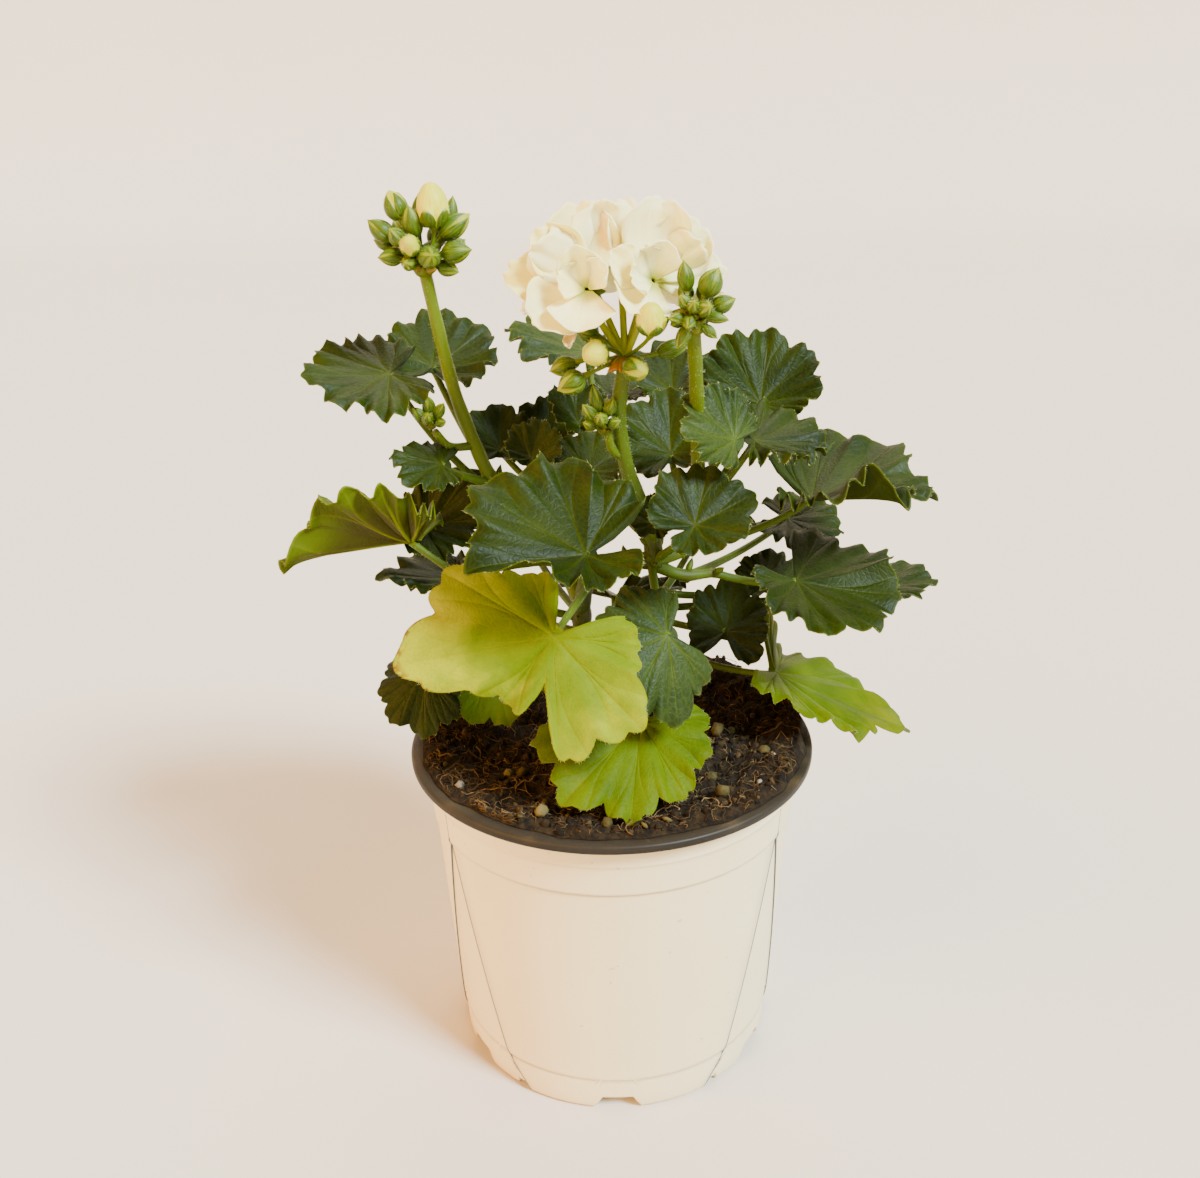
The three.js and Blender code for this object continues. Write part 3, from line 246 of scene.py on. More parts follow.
def closed_rings(rings: Array, poles: list[Array | Point], marks: Array | None = None,
                 flat: Array | None = None, finish: int = 0) -> Shell:
    """A closed surface of rings whose first and last are drawn together to two poles.

    Args:
        rings: its points, as rings by places by three.
        poles: its two poles.
        marks: four marks for each point of the rings.
        flat: two map coordinates for each point of the rings.
        finish: its finish number.

    Returns:
        The shell.
    """
    size = rings.shape[:2]
    ends = [None if values is None else with_ends(values) for values in (marks, flat)]
    points = np.vstack([rings.reshape(-1, 3), poles])
    return Shell(points, grid_faces(*size, True), end_faces(*size), *ends, finish).outward()


def added(name: str, data: bpy.types.ID) -> bpy.types.Object:
    """A new object in the scene, at the origin, that shows the data."""
    made = bpy.data.objects.new(name, data)
    bpy.context.scene.collection.objects.link(made)
    return made


def make_piece(name: str, shells: list[Shell], finishes: list[Material],
               stands_for: tuple[str, ...] = ()) -> None:
    """Puts shells into one mesh object that rides on the part.

    Args:
        name: the piece's name.
        shells: its closed surfaces.
        finishes: its materials, in the order of the shells' finish numbers.
        stands_for: the nodes of the part that it replaces.
    """
    starts = np.cumsum([0, *(len(s.points) for s in shells)])
    points = np.concatenate([s.points for s in shells]) * MM
    quads, tris = (
        np.concatenate([getattr(s, kind) + k for s, k in zip(shells, starts)]).astype(int) for kind in FACE_KINDS)
    loops = np.concatenate([quads.ravel(), tris.ravel()])
    firsts = np.concatenate([np.arange(len(quads)) * 4, 4 * len(quads) + np.arange(len(tris)) * 3])
    numbers = np.concatenate([np.full(len(getattr(s, kind)), s.finish) for kind in FACE_KINDS for s in shells])
    marks = np.concatenate([np.zeros((len(s.points), 4)) if s.marks is None else s.marks for s in shells])
    flat = np.concatenate([s.points[:, :2] if s.flat is None else s.flat for s in shells])

    def fill(items: bpy.types.bpy_prop_collection, key: str, values: Array, kind: type = np.float32) -> None:
        """Sets one property of all items from an array."""
        items.foreach_set(key, values.astype(kind).ravel())

    mesh = bpy.data.meshes.new(name)
    mesh.vertices.add(len(points))
    mesh.loops.add(len(loops))
    mesh.polygons.add(len(firsts))
    fill(mesh.vertices, "co", points)
    fill(mesh.loops, "vertex_index", loops, np.int32)
    fill(mesh.polygons, "loop_start", firsts, np.int32)
    fill(mesh.polygons, "material_index", numbers, np.int32)
    mesh.update(calc_edges=True)
    fill(mesh.attributes.new("marks", "FLOAT_COLOR", "POINT").data, "color", marks)
    fill(mesh.uv_layers.new(name="flat").data, "uv", flat[loops])
    mesh.shade_smooth()
    for finish in finishes:
        mesh.materials.append(finish)
    piece = added(name, mesh)
    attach(piece, BODY)
    if stands_for:
        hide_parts(*stands_for)
    log.info("%s: %d triangles", name, 2 * len(quads) + len(tris))


def tube(path: Array, radii: Array, sides: int, finish: int = 0, ribs: float = 0.0,
         marks: Array | None = None) -> Shell:
    """A tube with closed ends.

    A point is the path plus radius times (cos a across + sin a along the other direction); ribs raise
    the radius by their share at every second fifth of the turn.

    Args:
        path: its centre line, in mm.
        radii: its radius at each point of the path.
        sides: points in a ring.
        finish: its finish number.
        ribs: height of its lengthwise ribs as a share of the radius.
        marks: four marks for each point of the path.

    Returns:
        The shell.
    """
    _, across, other = axes_along(path)
    angle = full_turn(sides)[None, :, None]
    radius = radii[:, None, None] * (1 + ribs * np.cos(5 * angle))
    rings = path[:, None] + radius * swing(angle, across[:, None], other[:, None])
    flat = stacked(run_along(path)[:, None], 2 * radii[0] * angle[..., 0])
    if marks is not None:
        marks = np.broadcast_to(marks[:, None], (*rings.shape[:2], 4))
    return closed_rings(rings, [path[0], path[-1]], marks, flat, finish)


def threads(paths: Array, radii: Array, sides: int, marks: Array) -> Shell:
    """Many fine tubes at once, closed by their first and last rings.

    Args:
        paths: their centre lines, as tubes by steps by three, in mm.
        radii: their radii, as tubes by steps.
        sides: points in a ring.
        marks: four marks for each tube.

    Returns:
        One shell that holds them all.
    """
    count, steps = paths.shape[:2]
    size = steps * sides
    tangent = unit(np.gradient(paths, axis=1))
    across = unit(np.cross(tangent, SLANT))
    ring = swing(full_turn(sides)[:, None], across[:, :, None], np.cross(tangent, across)[:, :, None])
    points = (paths[:, :, None] + radii[:, :, None, None] * ring).reshape(-1, 3)
    k = np.arange(1, sides - 1)
    start = stacked(0, k + 1, k)
    ends = np.vstack([start, start[:, ::-1] + size - sides])
    return Shell(points, repeated(grid_faces(steps, sides, True), count, size), repeated(ends, count, size),
                 np.repeat(marks, size, axis=0)).outward()


def ball(centre: Array, radius: float, marks: list[float]) -> Shell:
    """A small round ball: a tube whose radius follows a half circle."""
    tilt = np.linspace(0.02, math.pi - 0.02, 9)
    path = np.asarray(centre, float) - np.cos(tilt)[:, None] * UP * radius
    return tube(path, radius * np.sin(tilt), 12, marks=np.tile(marks, (9, 1)))


def spikes(roots: Array, ways: Array, lengths: Array, width: float) -> Shell:
    """Fine three-sided hairs, each a thin cone from its root along its way.

    Args:
        roots: where they stand, in mm.
        ways: their directions, of length one.
        lengths: their lengths, in mm.
        width: thickness at the root.

    Returns:
        One shell that holds them all.
    """
    spare = np.where(np.abs(ways[:, 2:]) > 0.9, np.array([[1.0, 0, 0]]), UP[None, :])
    across = unit(np.cross(ways, spare))
    other = np.cross(ways, across)
    corners = [roots + 0.5 * width * swing(a, across, other) - ways * HAIR_SUNK for a in full_turn(3)]
    points = np.stack([*corners, roots + ways * lengths[:, None]], axis=1).reshape(-1, 3)
    sides = np.array([[0, 1, 3], [1, 2, 3], [2, 0, 3], [0, 2, 1]])
    return Shell(points, NO_QUADS, repeated(sides, len(roots), 4)).outward()


def lumps(centres: Array, sizes: Array, seed: int, stretch: float = 0.3, finish: int = 0) -> Shell:
    """Small rough crumbs: each a low globe whose corners are drawn in or out, squashed along a random way.

    Args:
        centres: their middles, in mm.
        sizes: their radii, in mm.
        seed: picks their shapes.
        stretch: how uneven they are.
        finish: their finish number.

    Returns:
        One shell that holds them all.
    """
    draw = np.random.default_rng(seed)
    rows, columns = 3, 6
    tilt = ((np.arange(rows) + 1) * math.pi / (rows + 1))[:, None]
    globe = about_axis(np.sin(tilt), full_turn(columns), np.cos(tilt))
    globe = np.vstack([globe.reshape(-1, 3), UP, -UP])
    count, size = len(centres), len(globe)
    shape = globe[None] * (1 + stretch * draw.uniform(-1, 1, (count, size, 1)))
    squash = unit(draw.normal(size=(count, 1, 3)))
    shape -= squash * (shape * squash).sum(-1, keepdims=True) * draw.uniform(0, 0.6, (count, 1, 1))
    points = (centres[:, None] + shape * sizes[:, None, None]).reshape(-1, 3)
    tone = np.repeat(draw.uniform(0, 1, (count, 4)), size, axis=0)
    return Shell(points, repeated(grid_faces(rows, columns, True), count, size),
                 repeated(end_faces(rows, columns), count, size), tone, finish=finish).outward()


# Finishes

class Graph:
    """A short way to write a material's nodes."""

    def __init__(self, name: str) -> None:
        """Starts an empty material."""
        self.material = bpy.data.materials.new(name)
        self.material.use_nodes = True
        self.tree = self.material.node_tree
        self.tree.nodes.clear()

    def node(self, kind: str, inputs: dict | None = None, **settings: object) -> bpy.types.Node:
        """Adds a node.

        Args:
            kind: its type, without the word that every shader node's type starts with.
            inputs: a value or another node's output for each input, by its name or number.
            settings: its own properties.

        Returns:
            The node.
        """
        made = self.tree.nodes.new("ShaderNode" + kind)
        for key, value in settings.items():
            setattr(made, key, value)
        for key, value in (inputs or {}).items():
            if isinstance(value, Socket):
                self.tree.links.new(value, made.inputs[key])
            else:
                made.inputs[key].default_value = value
        return made

    def place(self) -> Socket:
        """The point's place on its object, in metres."""
        return self.node("TexCoord").outputs["Object"]

    def flat(self) -> Socket:
        """The point's place in the piece's flat map, in mm."""
        return self.node("UVMap", uv_map="flat").outputs["UV"]

    def marks(self) -> list[Socket]:
        """The first three marks of the point, then the fourth."""
        read = self.node("Attribute", attribute_name="marks")
        parts = self.node("SeparateColor", {"Color": read.outputs["Color"]})
        return [*parts.outputs, read.outputs["Alpha"]]

    def stretched(self, at: Socket, scale: Point) -> Socket:
        """A place scaled by its own factor along each axis."""
        return self.node("Mapping", {"Vector": at, "Scale": scale}).outputs["Vector"]

    def noise(self, at: Socket, scale: float, detail: float = 3, rough: float = 0.55) -> Socket:
        """A cloudy noise from 0 to 1."""
        inputs = {"Vector": at, "Scale": scale, "Detail": detail, "Roughness": rough}
        return self.node("TexNoise", inputs).outputs["Fac"]

    def net(self, at: Socket, scale: float) -> Socket:
        """Distance to the nearest line of a net of irregular cells."""
        made = self.node("TexVoronoi", {"Vector": at, "Scale": scale}, feature="DISTANCE_TO_EDGE")
        return made.outputs["Distance"]

    def span(self, value: Socket, low: float, high: float, to_low: float = 0, to_high: float = 1) -> Socket:
        """The value's way from low to high, eased, carried over to another span."""
        limits = {"Value": value, "From Min": low, "From Max": high, "To Min": to_low, "To Max": to_high}
        return self.node("MapRange", limits, interpolation_type="SMOOTHSTEP").outputs["Result"]

    def calc(self, kind: str, a: Socket | float, b: Socket | float) -> Socket:
        """Two values put through the named operation."""
        return self.node("Math", {0: a, 1: b}, operation=kind).outputs[0]

    def plus(self, a: Socket | float, b: Socket | float) -> Socket:
        """One value plus another."""
        return self.calc("ADD", a, b)

    def times(self, a: Socket | float, b: Socket | float) -> Socket:
        """One value times another."""
        return self.calc("MULTIPLY", a, b)

    def blend(self, share: Socket, a: Socket | Colour, b: Socket | Colour) -> Socket:
        """A colour at a share of the way from a to b; plain colours are given as three numbers."""
        ends = {key: (*tone, 1) if isinstance(tone, tuple) else tone for key, tone in ((6, a), (7, b))}
        return self.node("Mix", {0: share, **ends}, data_type="RGBA", blend_type="MIX").outputs[2]

    def layered(self, tone: Socket | Colour, *layers: tuple[Socket, Socket | Colour]) -> Socket:
        """A colour under layers, each of which covers it by its share with its own colour."""
        for share, layer in layers:
            tone = self.blend(share, tone, layer)
        return tone

    def finish(self, tone: Socket, rough: Socket | float, shine: float = 0.5,
               relief: tuple[Socket, float, float] | None = None,
               glow: tuple[float, Colour, float] | None = None, sheen: float = 0.0) -> Material:
        """Ends the material with its one shader.

        Args:
            tone: its colour.
            rough: its roughness.
            shine: its specular level.
            relief: a height that tilts the surface, its depth in metres and its strength.
            glow: weight, radii and scale of the light that passes below the surface.
            sheen: the weight of its sheen.

        Returns:
            The material.
        """
        inputs = {"Base Color": tone, "Roughness": rough, "Specular IOR Level": shine, "Sheen Weight": sheen}
        if relief:
            bump = dict(zip(("Height", "Distance", "Strength"), relief))
            inputs["Normal"] = self.node("Bump", bump).outputs["Normal"]
        if glow:
            inputs |= dict(zip(("Subsurface Weight", "Subsurface Radius", "Subsurface Scale"), glow))
        shader = self.node("BsdfPrincipled", inputs)
        self.node("OutputMaterial", {"Surface": shader.outputs["BSDF"]})
        return self.material


@dataclass(frozen=True)
class LeafFinish:
    """A leaf blade. Marks: vein, way from hub to margin, age, underside."""
    name: str
    deep: Colour
    light: Colour
    vein: Colour
    under: Colour
    aged: Colour
    rim: Colour
    dry: Colour = (0.16, 0.07, 0.01)
    shine: float = 0.12
    gloss: float = 0.42

    def material(self) -> Material:
        """Mottled blade with paler veins and rim, an aged colour by its mark and a duller underside."""
        g = Graph(self.name)
        vein, way, age, under = g.marks()
        flat = g.flat()
        fine = g.noise(flat, 1.6, 4, 0.6)
        net = g.span(g.net(flat, 0.6), 0.0, 0.2)
        patch = g.times(g.calc("SUBTRACT", g.noise(flat, 0.1, 3), 0.5), 0.7)
        scorch = g.times(g.span(way, 0.93, 1.0), g.span(g.times(age, g.noise(flat, 0.35, 3)), 0.33, 0.42))
        blade = g.layered(
            self.deep,
            (g.span(g.noise(g.place(), 60, 4), 0.32, 0.68), self.light),
            (g.span(g.plus(age, patch), 0.2, 0.85), self.aged),
            (g.times(g.calc("SUBTRACT", 1, net), 0.14), self.vein),
            (g.times(g.span(fine, 0.45, 0.75), 0.25), self.deep),
            (under, g.blend(g.span(way, 0.5, 0.95), self.under, self.light)),
            (g.times(vein, g.span(under, 0, 1, 0.5, 0.85)), self.vein),
            (g.span(way, 0.975, 1.0, 0, 0.75), self.rim),
            (scorch, self.dry),
        )
        height = g.plus(g.times(net, 0.6), g.times(fine, 0.5))
        rough = g.span(fine, 0.2, 0.8, self.gloss, self.gloss + 0.16)
        return g.finish(blade, rough, self.shine, (height, 0.00014, 0.6))


@dataclass(frozen=True)
class StemFinish:
    """A fleshy green stem or petiole. Marks: age, joint, sun, spare."""
    name: str
    fresh: Colour
    sunny: Colour
    old: Colour
    joint: Colour

    def material(self) -> Material:
        """Lengthwise streaks over a green that is yellower in the sun and browner with age and at the joints."""
        g = Graph(self.name)
        age, joint, sun, _ = g.marks()
        at = g.place()
        streak = g.noise(g.stretched(g.flat(), (0.25, 3.0, 1.0)), 0.9, 4)
        fine = g.noise(at, 1400, 3)
        tone = g.layered(
            self.fresh,
            (sun, self.sunny),
            (g.span(streak, 0.4, 0.8, 0, 0.35), self.fresh),
            (g.times(age, g.span(g.noise(at, 160, 3), 0.3, 0.7, 0.4, 1)), self.old),
            (g.times(joint, 0.6), self.joint),
        )
        relief = (g.plus(streak, g.times(fine, 0.4)), 0.00015, 0.6)
        return g.finish(tone, g.span(fine, 0.2, 0.8, 0.36, 0.54), 0.2, relief, (0.2, (0.8, 1.0, 0.15), 0.0012))


@dataclass(frozen=True)
class PetalFinish:
    """A white petal. Marks: way from throat to tip, streak, warmth (cream tint with painted warm light), dryness."""
    name: str
    white: Colour
    cream: Colour
    throat: Colour
    streak: Colour
    dry: Colour

    def material(self) -> Material:
        """Fine lengthwise lines on white, cream toward the base, green in the throat, a rare orange streak."""
        g = Graph(self.name)
        way, streak, cream_and_warm_light, dry = g.marks()
        line = g.noise(g.stretched(g.flat(), (2.2, 0.16, 1.0)), 0.9, 3)
        cloud = g.noise(g.place(), 120, 3)
        tone = g.layered(
            self.white,
            (g.span(cloud, 0.3, 0.7, 0, 0.4), self.cream),
            # Cream by each petal's warmth: partly its own tint, partly painted warm light, strongest on the left
            # floret.
            (g.times(cream_and_warm_light, 0.9), self.cream),
            (g.span(way, 0.5, 0.15, 0, 0.5), self.cream),
            (g.span(way, 0.3, 0.08, 0, 1), self.throat),
            (g.span(line, 0.5, 0.75, 0, 0.16), self.throat),
            (g.times(streak, g.span(line, 0.3, 0.6, 0.5, 1)), self.streak),
            (dry, self.dry),
        )
        rough = g.span(cloud, 0.2, 0.8, 0.5, 0.68)
        return g.finish(tone, rough, 0.3, (line, 0.0001, 0.6), (0.4, (1.0, 0.85, 0.5), 0.002))


@dataclass(frozen=True)
class BudFinish:
    """A bud. Marks: sepal, way from foot to tip, creaminess, dryness."""
    name: str
    sepal: Colour
    sepal_light: Colour
    petal: Colour
    stripe: Colour
    dry: Colour

    def material(self) -> Material:
        """Streaked green sepals over yellow-green or cream petals, browner where dry."""
        g = Graph(self.name)
        sepal, way, cream, dry = g.marks()
        line = g.noise(g.stretched(g.flat(), (0.3, 2.6, 1.0)), 1.1, 3)
        tone = g.layered(
            self.sepal_light,
            (g.span(way, 0.3, 1.0), self.stripe),
            (cream, g.blend(g.span(line, 0.45, 0.7, 0, 0.5), self.petal, self.stripe)),
            (sepal, g.blend(g.span(line, 0.35, 0.65), self.sepal, self.sepal_light)),
            (g.times(dry, g.span(g.noise(g.place(), 700, 3), 0.35, 0.6, 0.35, 1)), self.dry),
        )
        rough = g.span(line, 0.2, 0.8, 0.36, 0.52)
        return g.finish(tone, rough, 0.25, (line, 0.00012, 0.6), (0.2, (0.8, 1.0, 0.2), 0.0012))


@dataclass(frozen=True)
class PlasticFinish:
    """Thin moulded plastic. Marks: dirt, and on the pot's wall painted shade."""
    name: str
    clean: Colour
    shade: Colour
    dust_and_shade: Colour
    gloss: float
    shine: float = 0.5

    def material(self) -> Material:
        """Plain plastic with clouding, scratches, specks, and by its mark dirt on the flange and painted shade on the
        wall.
        """
        g = Graph(self.name)
        at = g.place()
        cloud = g.noise(at, 24, 3)
        grain = g.noise(at, 900, 3)
        scratch = g.noise(g.stretched(at, (1.0, 1.0, 0.06)), 1500, 2)
        tone = g.layered(
            self.clean,
            (g.span(cloud, 0.3, 0.7), self.shade),
            (g.times(g.span(g.noise(at, 430, 2, 0.4), 0.73, 0.79), 0.4), self.dust_and_shade),
            # Its mark lays this colour: dirt on the flange's top, painted shade in bands on the pot's wall.
            (g.times(g.marks()[0], g.span(grain, 0.1, 0.5, 0.3, 1)), self.dust_and_shade),
        )
        relief = (g.plus(grain, g.times(g.span(scratch, 0.62, 0.8), 1.5)), 0.00004, 0.5)
        rough = g.span(cloud, 0.2, 0.8, self.gloss, self.gloss + 0.12)
        return g.finish(tone, rough, self.shine, relief, (0.08, (1.0, 0.8, 0.6), 0.003))


@dataclass(frozen=True)
class EarthFinish:
    """Peat, fibre or a grain. Marks: random tones for each crumb."""
    name: str
    dark: Colour
    mid: Colour
    light: Colour
    rough: float = 0.95

    def material(self) -> Material:
        """Matt crumbs whose tone differs from one to the next, with a fine grain."""
        g = Graph(self.name)
        tone_a, tone_b, _, _ = g.marks()
        at = g.place()
        coarse = g.noise(at, 420, 5, 0.65)
        fine = g.noise(at, 2600, 4, 0.7)
        tone = g.layered(
            self.dark,
            (g.span(coarse, 0.35, 0.7), self.mid),
            (g.times(g.span(tone_a, 0.55, 1.0), 0.8), self.light),
            (g.times(g.span(tone_b, 0.5, 1.0), 0.6), self.dark),
            (g.span(fine, 0.55, 0.8, 0, 0.5), self.mid),
        )
        return g.finish(tone, self.rough, 0.2, (g.plus(coarse, g.times(fine, 0.5)), 0.0006, 0.8))


@dataclass(frozen=True)
class HairFinish:
    """Fine pale hairs."""
    name: str
    pale: Colour
    green: Colour

    def material(self) -> Material:
        """Pale hairs, greener in places."""
        g = Graph(self.name)
        tone = g.blend(g.span(g.noise(g.place(), 300, 2), 0.4, 0.6), self.pale, self.green)
        return g.finish(tone, 0.5, sheen=0.2)


class Tone(Enum):
    """The kinds of leaf: each has its own slot and finish."""
    GREEN = "green"
    GREY = "grey"
    LIME = "lime"
    YELLOW = "yellow"
    OLIVE = "olive"

    @property
    def slot(self) -> str:
        """The record's slot of this kind of leaf."""
        return f"leaf_{self.value}"


LEAF_FINISHES = {
    Tone.GREEN: LeafFinish(
        "leaf_dark_green", (0.0063, 0.014, 0.0), (0.0168, 0.0294, 0.0), (0.042, 0.056, 0.0),
        (0.021, 0.028, 0.0), (0.049, 0.056, 0.0), (0.049, 0.07, 0.0)),
    Tone.GREY: LeafFinish(
        "leaf_grey_green", (0.0125, 0.025, 0.0031), (0.0296, 0.0484, 0.0062), (0.078, 0.1092, 0.0078),
        (0.0351, 0.0468, 0.0016), (0.0624, 0.0702, 0.0016), (0.078, 0.1092, 0.0078)),
    Tone.LIME: LeafFinish(
        "leaf_lime", (0.04, 0.075, 0.0), (0.08, 0.122, 0.0), (0.11, 0.14, 0.0),
        (0.055, 0.075, 0.0), (0.165, 0.165, 0.0), (0.095, 0.115, 0.0), shine=0.05),
    Tone.YELLOW: LeafFinish(
        "leaf_yellowing", (0.086, 0.1376, 0.0), (0.1376, 0.1892, 0.0), (0.172, 0.2064, 0.0),
        (0.1032, 0.1118, 0.0), (0.33, 0.35, 0.0), (0.1892, 0.1892, 0.0), shine=0.03),
    Tone.OLIVE: LeafFinish(
        "leaf_olive", (0.0225, 0.0375, 0.0), (0.06, 0.0863, 0.0), (0.15, 0.18, 0.0),
        (0.0375, 0.0375, 0.0), (0.06, 0.0638, 0.0), (0.1125, 0.15, 0.0)),
}
STEM_FINISH = StemFinish(
    "stem_green", (0.0298, 0.0595, 0.0), (0.102, 0.153, 0.0), (0.0255, 0.0238, 0.0), (0.0382, 0.034, 0.0))
PETAL_FINISH = PetalFinish(
    "petal_white", (0.99, 0.95, 0.58), (0.99, 0.86, 0.2), (0.45, 0.5, 0.05), (0.9, 0.28, 0.01), (0.5, 0.38, 0.2))
BUD_FINISH = BudFinish(
    "bud_green", (0.03, 0.068, 0.0), (0.085, 0.136, 0.0), (0.68, 0.64, 0.02), (0.18, 0.23, 0.0), (0.42, 0.16, 0.0))
HAIR_FINISH = HairFinish("plant_hair", (0.6, 0.62, 0.35), (0.35, 0.42, 0.1))
WHITE_PLASTIC = PlasticFinish("pot_white", (0.85, 0.71, 0.41), (0.82, 0.68, 0.38), (0.3, 0.22, 0.13), 0.38)
DARK_PLASTIC = PlasticFinish(
    "pot_lip_dark", (0.01, 0.009, 0.007), (0.018, 0.016, 0.013), (0.06, 0.042, 0.02), 0.4, 0.16)
# Dark blue-grey of the seam beads: painted shade along the pot's seams.
SEAM_PAINTED_SHADE = PlasticFinish("pot_seam_painted_shade", (0.07, 0.085, 0.1), (0.13, 0.15, 0.17), (0.05, 0.045, 0.035), 0.5, 0.2)
PEAT = EarthFinish("peat", (0.005, 0.003, 0.0015), (0.03, 0.018, 0.006), (0.09, 0.052, 0.018))
FIBRE = EarthFinish("peat_fibre", (0.03, 0.018, 0.006), (0.12, 0.07, 0.025), (0.3, 0.18, 0.07))
GRIT = EarthFinish("grit_ochre", (0.04, 0.03, 0.006), (0.11, 0.08, 0.02), (0.18, 0.14, 0.045), 0.85)
PERLITE = EarthFinish("grit_white", (0.2, 0.17, 0.12), (0.34, 0.3, 0.24), (0.45, 0.4, 0.33), 0.8)


# Pot

@dataclass
class Pot:
    """The pot: a thin tapered wall with a dark flange, an upper band, three gussets and notches round the foot."""
    height: float = 99.0
    lip_radius: float = 60.0
    lip_height: float = 2.6
    wall_top_radius: float = 55.3
    base_radius: float = 48.7
    wall: float = 1.4
    floor: float = 2.0
    shoulder_z: float = 80.0
    shoulder_step: float = 0.5
    upper_ring_z: float = 89.5
    foot_line_z: float = 10.9
    ring_height: float = 0.16
    groove_depth: float = 0.35
    foot_inset: float = 1.1
    foot_round: float = 1.4
    gusset_depth: float = 0.55
    gusset_heights: tuple[float, ...] = (-1.0, 12.5, 81.5)
    gusset_halves: tuple[float, ...] = (23.6, 15.5, 0.0)
    gusset_count: int = 3
    notch_count: int = 6
    notch_height: float = 4.6
    notch_foot_half: float = 7.0
    notch_top_half: float = 4.5
    corner_angle: float = 23.6
    corner_half: float = 1.7
    corner_height: float = 2.4
    corner_slope: float = 0.15
    foot_ring_width: float = 4.0
    foot_recess: float = 0.9
    foot_disc_radius: float = 14.0
    rows: int = 110
    columns: int = 240

    def radius(self, z: Array) -> Array:
        """Outer radius of the plain taper: straight from the base radius to the wall's top."""
        return self.base_radius + (self.wall_top_radius - self.base_radius) * z / self.height

    def relief(self, z: Array) -> Array:
        """Height off the taper: out above the shoulder, a faint ring, a groove at the foot line, a rounded foot."""
        step = self.shoulder_step * smooth(z, self.shoulder_z - 0.5, self.shoulder_z)
        ring = self.ring_height * bell(z - self.upper_ring_z, 0.45)
        groove = -self.groove_depth * bell(z - self.foot_line_z, 0.4)
        round_it = 1 - np.clip(z / self.foot_round, 0, 1)
        foot = -self.foot_inset * (1 - np.sqrt(np.clip(1 - round_it ** 2, 0, 1)))
        return step + ring + groove + foot

    def gusset_turn(self, z: Array) -> Array:
        """Angle from a gusset's middle to its seam: the arc sine of its half width over the radius."""
        half = np.interp(z, self.gusset_heights, self.gusset_halves)
        return np.arcsin(np.maximum(half, 0.45) / self.radius(z))

    def half_columns(self, z: Array) -> tuple[Array, Array]:
        """Columns from a gusset's middle to the next notch's middle.

        They are cut at the sides of each notch and at the seam, so that every edge lies on a column.
        Above the foot the notches' cuts part to even steps.

        Args:
            z: heights, as one column.

        Returns:
            Angles and the recess as a share, each as rows by columns.
        """
        circle = self.radius(z)
        gusset = self.gusset_turn(z)
        inner = gusset - np.minimum(0.45 / circle, 0.3 * gusset)
        corner = math.radians(self.corner_angle)
        edge, slope = self.corner_half / circle, self.corner_slope / circle
        near = (self.notch_top_half / circle, self.notch_foot_half / circle, corner - edge - slope,
                corner - edge + slope, corner + edge - slope, corner + edge + slope)
        most = (0.27, 0.42, 0.84, 0.855, 0.985, 0.995)
        spread = (0.27, 0.42, 0.62, 0.7, 0.82, 0.9)
        low = 1 - smooth(z, self.corner_height, 3 * self.corner_height)
        cuts = [np.zeros_like(circle)]
        cuts += [mixed(far * inner, np.minimum(place, cap * inner), low)
                 for place, cap, far in zip(near, most, spread)]
        sixth = math.pi / self.gusset_count
        cuts += [inner, gusset, sixth - self.notch_foot_half / circle, sixth - self.notch_top_half / circle,
                 np.full_like(circle, sixth)]
        steps = (3, 2, 5, 1, 2, 1, 1, 1, 8, 2, 3)
        recessed = [1.0] * 8 + [0.0] * 4
        angles, depths = [], []
        for k, count in enumerate(steps):
            t = np.arange(count)[None] / count
            angles.append(mixed(cuts[k], cuts[k + 1], t))
            depths.append(np.broadcast_to(mixed(recessed[k], recessed[k + 1], t), (len(z), count)))
        return np.concatenate([*angles, cuts[-1]], axis=1), np.concatenate([*depths, 0 * circle], axis=1)

    def wall_grid(self) -> tuple[Array, Array, Array]:
        """The wall's outer face: angles, heights and the recess as a share, each as rows by columns."""
        top = self.height - self.lip_height
        fixed = [0, 0.4, 0.9, self.foot_round, self.shoulder_z - 0.5, self.shoulder_z - 0.25, self.shoulder_z]
        fixed += [line + side for line in (self.foot_line_z, self.upper_ring_z) for side in (-0.4, 0, 0.4)]
        z = np.unique(np.concatenate([np.linspace(0, top, self.rows), fixed]))[:, None]
        half, depth = self.half_columns(z)
        depth = depth * smooth(-z, -self.gusset_heights[-1], 3 - self.gusset_heights[-1])
        turn = np.concatenate([-half[:, :0:-1], half[:, :-1]], axis=1)
        depth = np.concatenate([depth[:, :0:-1], depth[:, :-1]], axis=1)
        third = TURN / self.gusset_count
        turn = np.concatenate([turn + FRONT + (k + 0.5) * third for k in range(self.gusset_count)], axis=1)
        return turn, np.broadcast_to(z, turn.shape).copy(), np.tile(depth, (1, self.gusset_count))

    def notch_floor(self, turn: Array) -> Array:
        """Lowest height of the wall at an angle: a notch's height inside it, sloping to zero at its sides."""
        def off(pitch: float, first: float) -> Array:
            """Distance along the foot to the nearest of the places that a pitch parts."""
            return np.abs((turn - first + pitch / 2) % pitch - pitch / 2) * self.base_radius

        span = self.notch_foot_half - self.notch_top_half
        wide = (self.notch_foot_half - off(TURN / self.notch_count, FRONT)) / span
        third = TURN / self.gusset_count
        floor = self.notch_height * np.clip(wide, 0, 1)
        for way in (-1, 1):
            gap = off(third, FRONT + third / 2 + way * math.radians(self.corner_angle))
            narrow = (self.corner_half + self.corner_slope - gap) / (2 * self.corner_slope)
            floor = np.maximum(floor, self.corner_height * np.clip(narrow, 0, 1))
        return floor

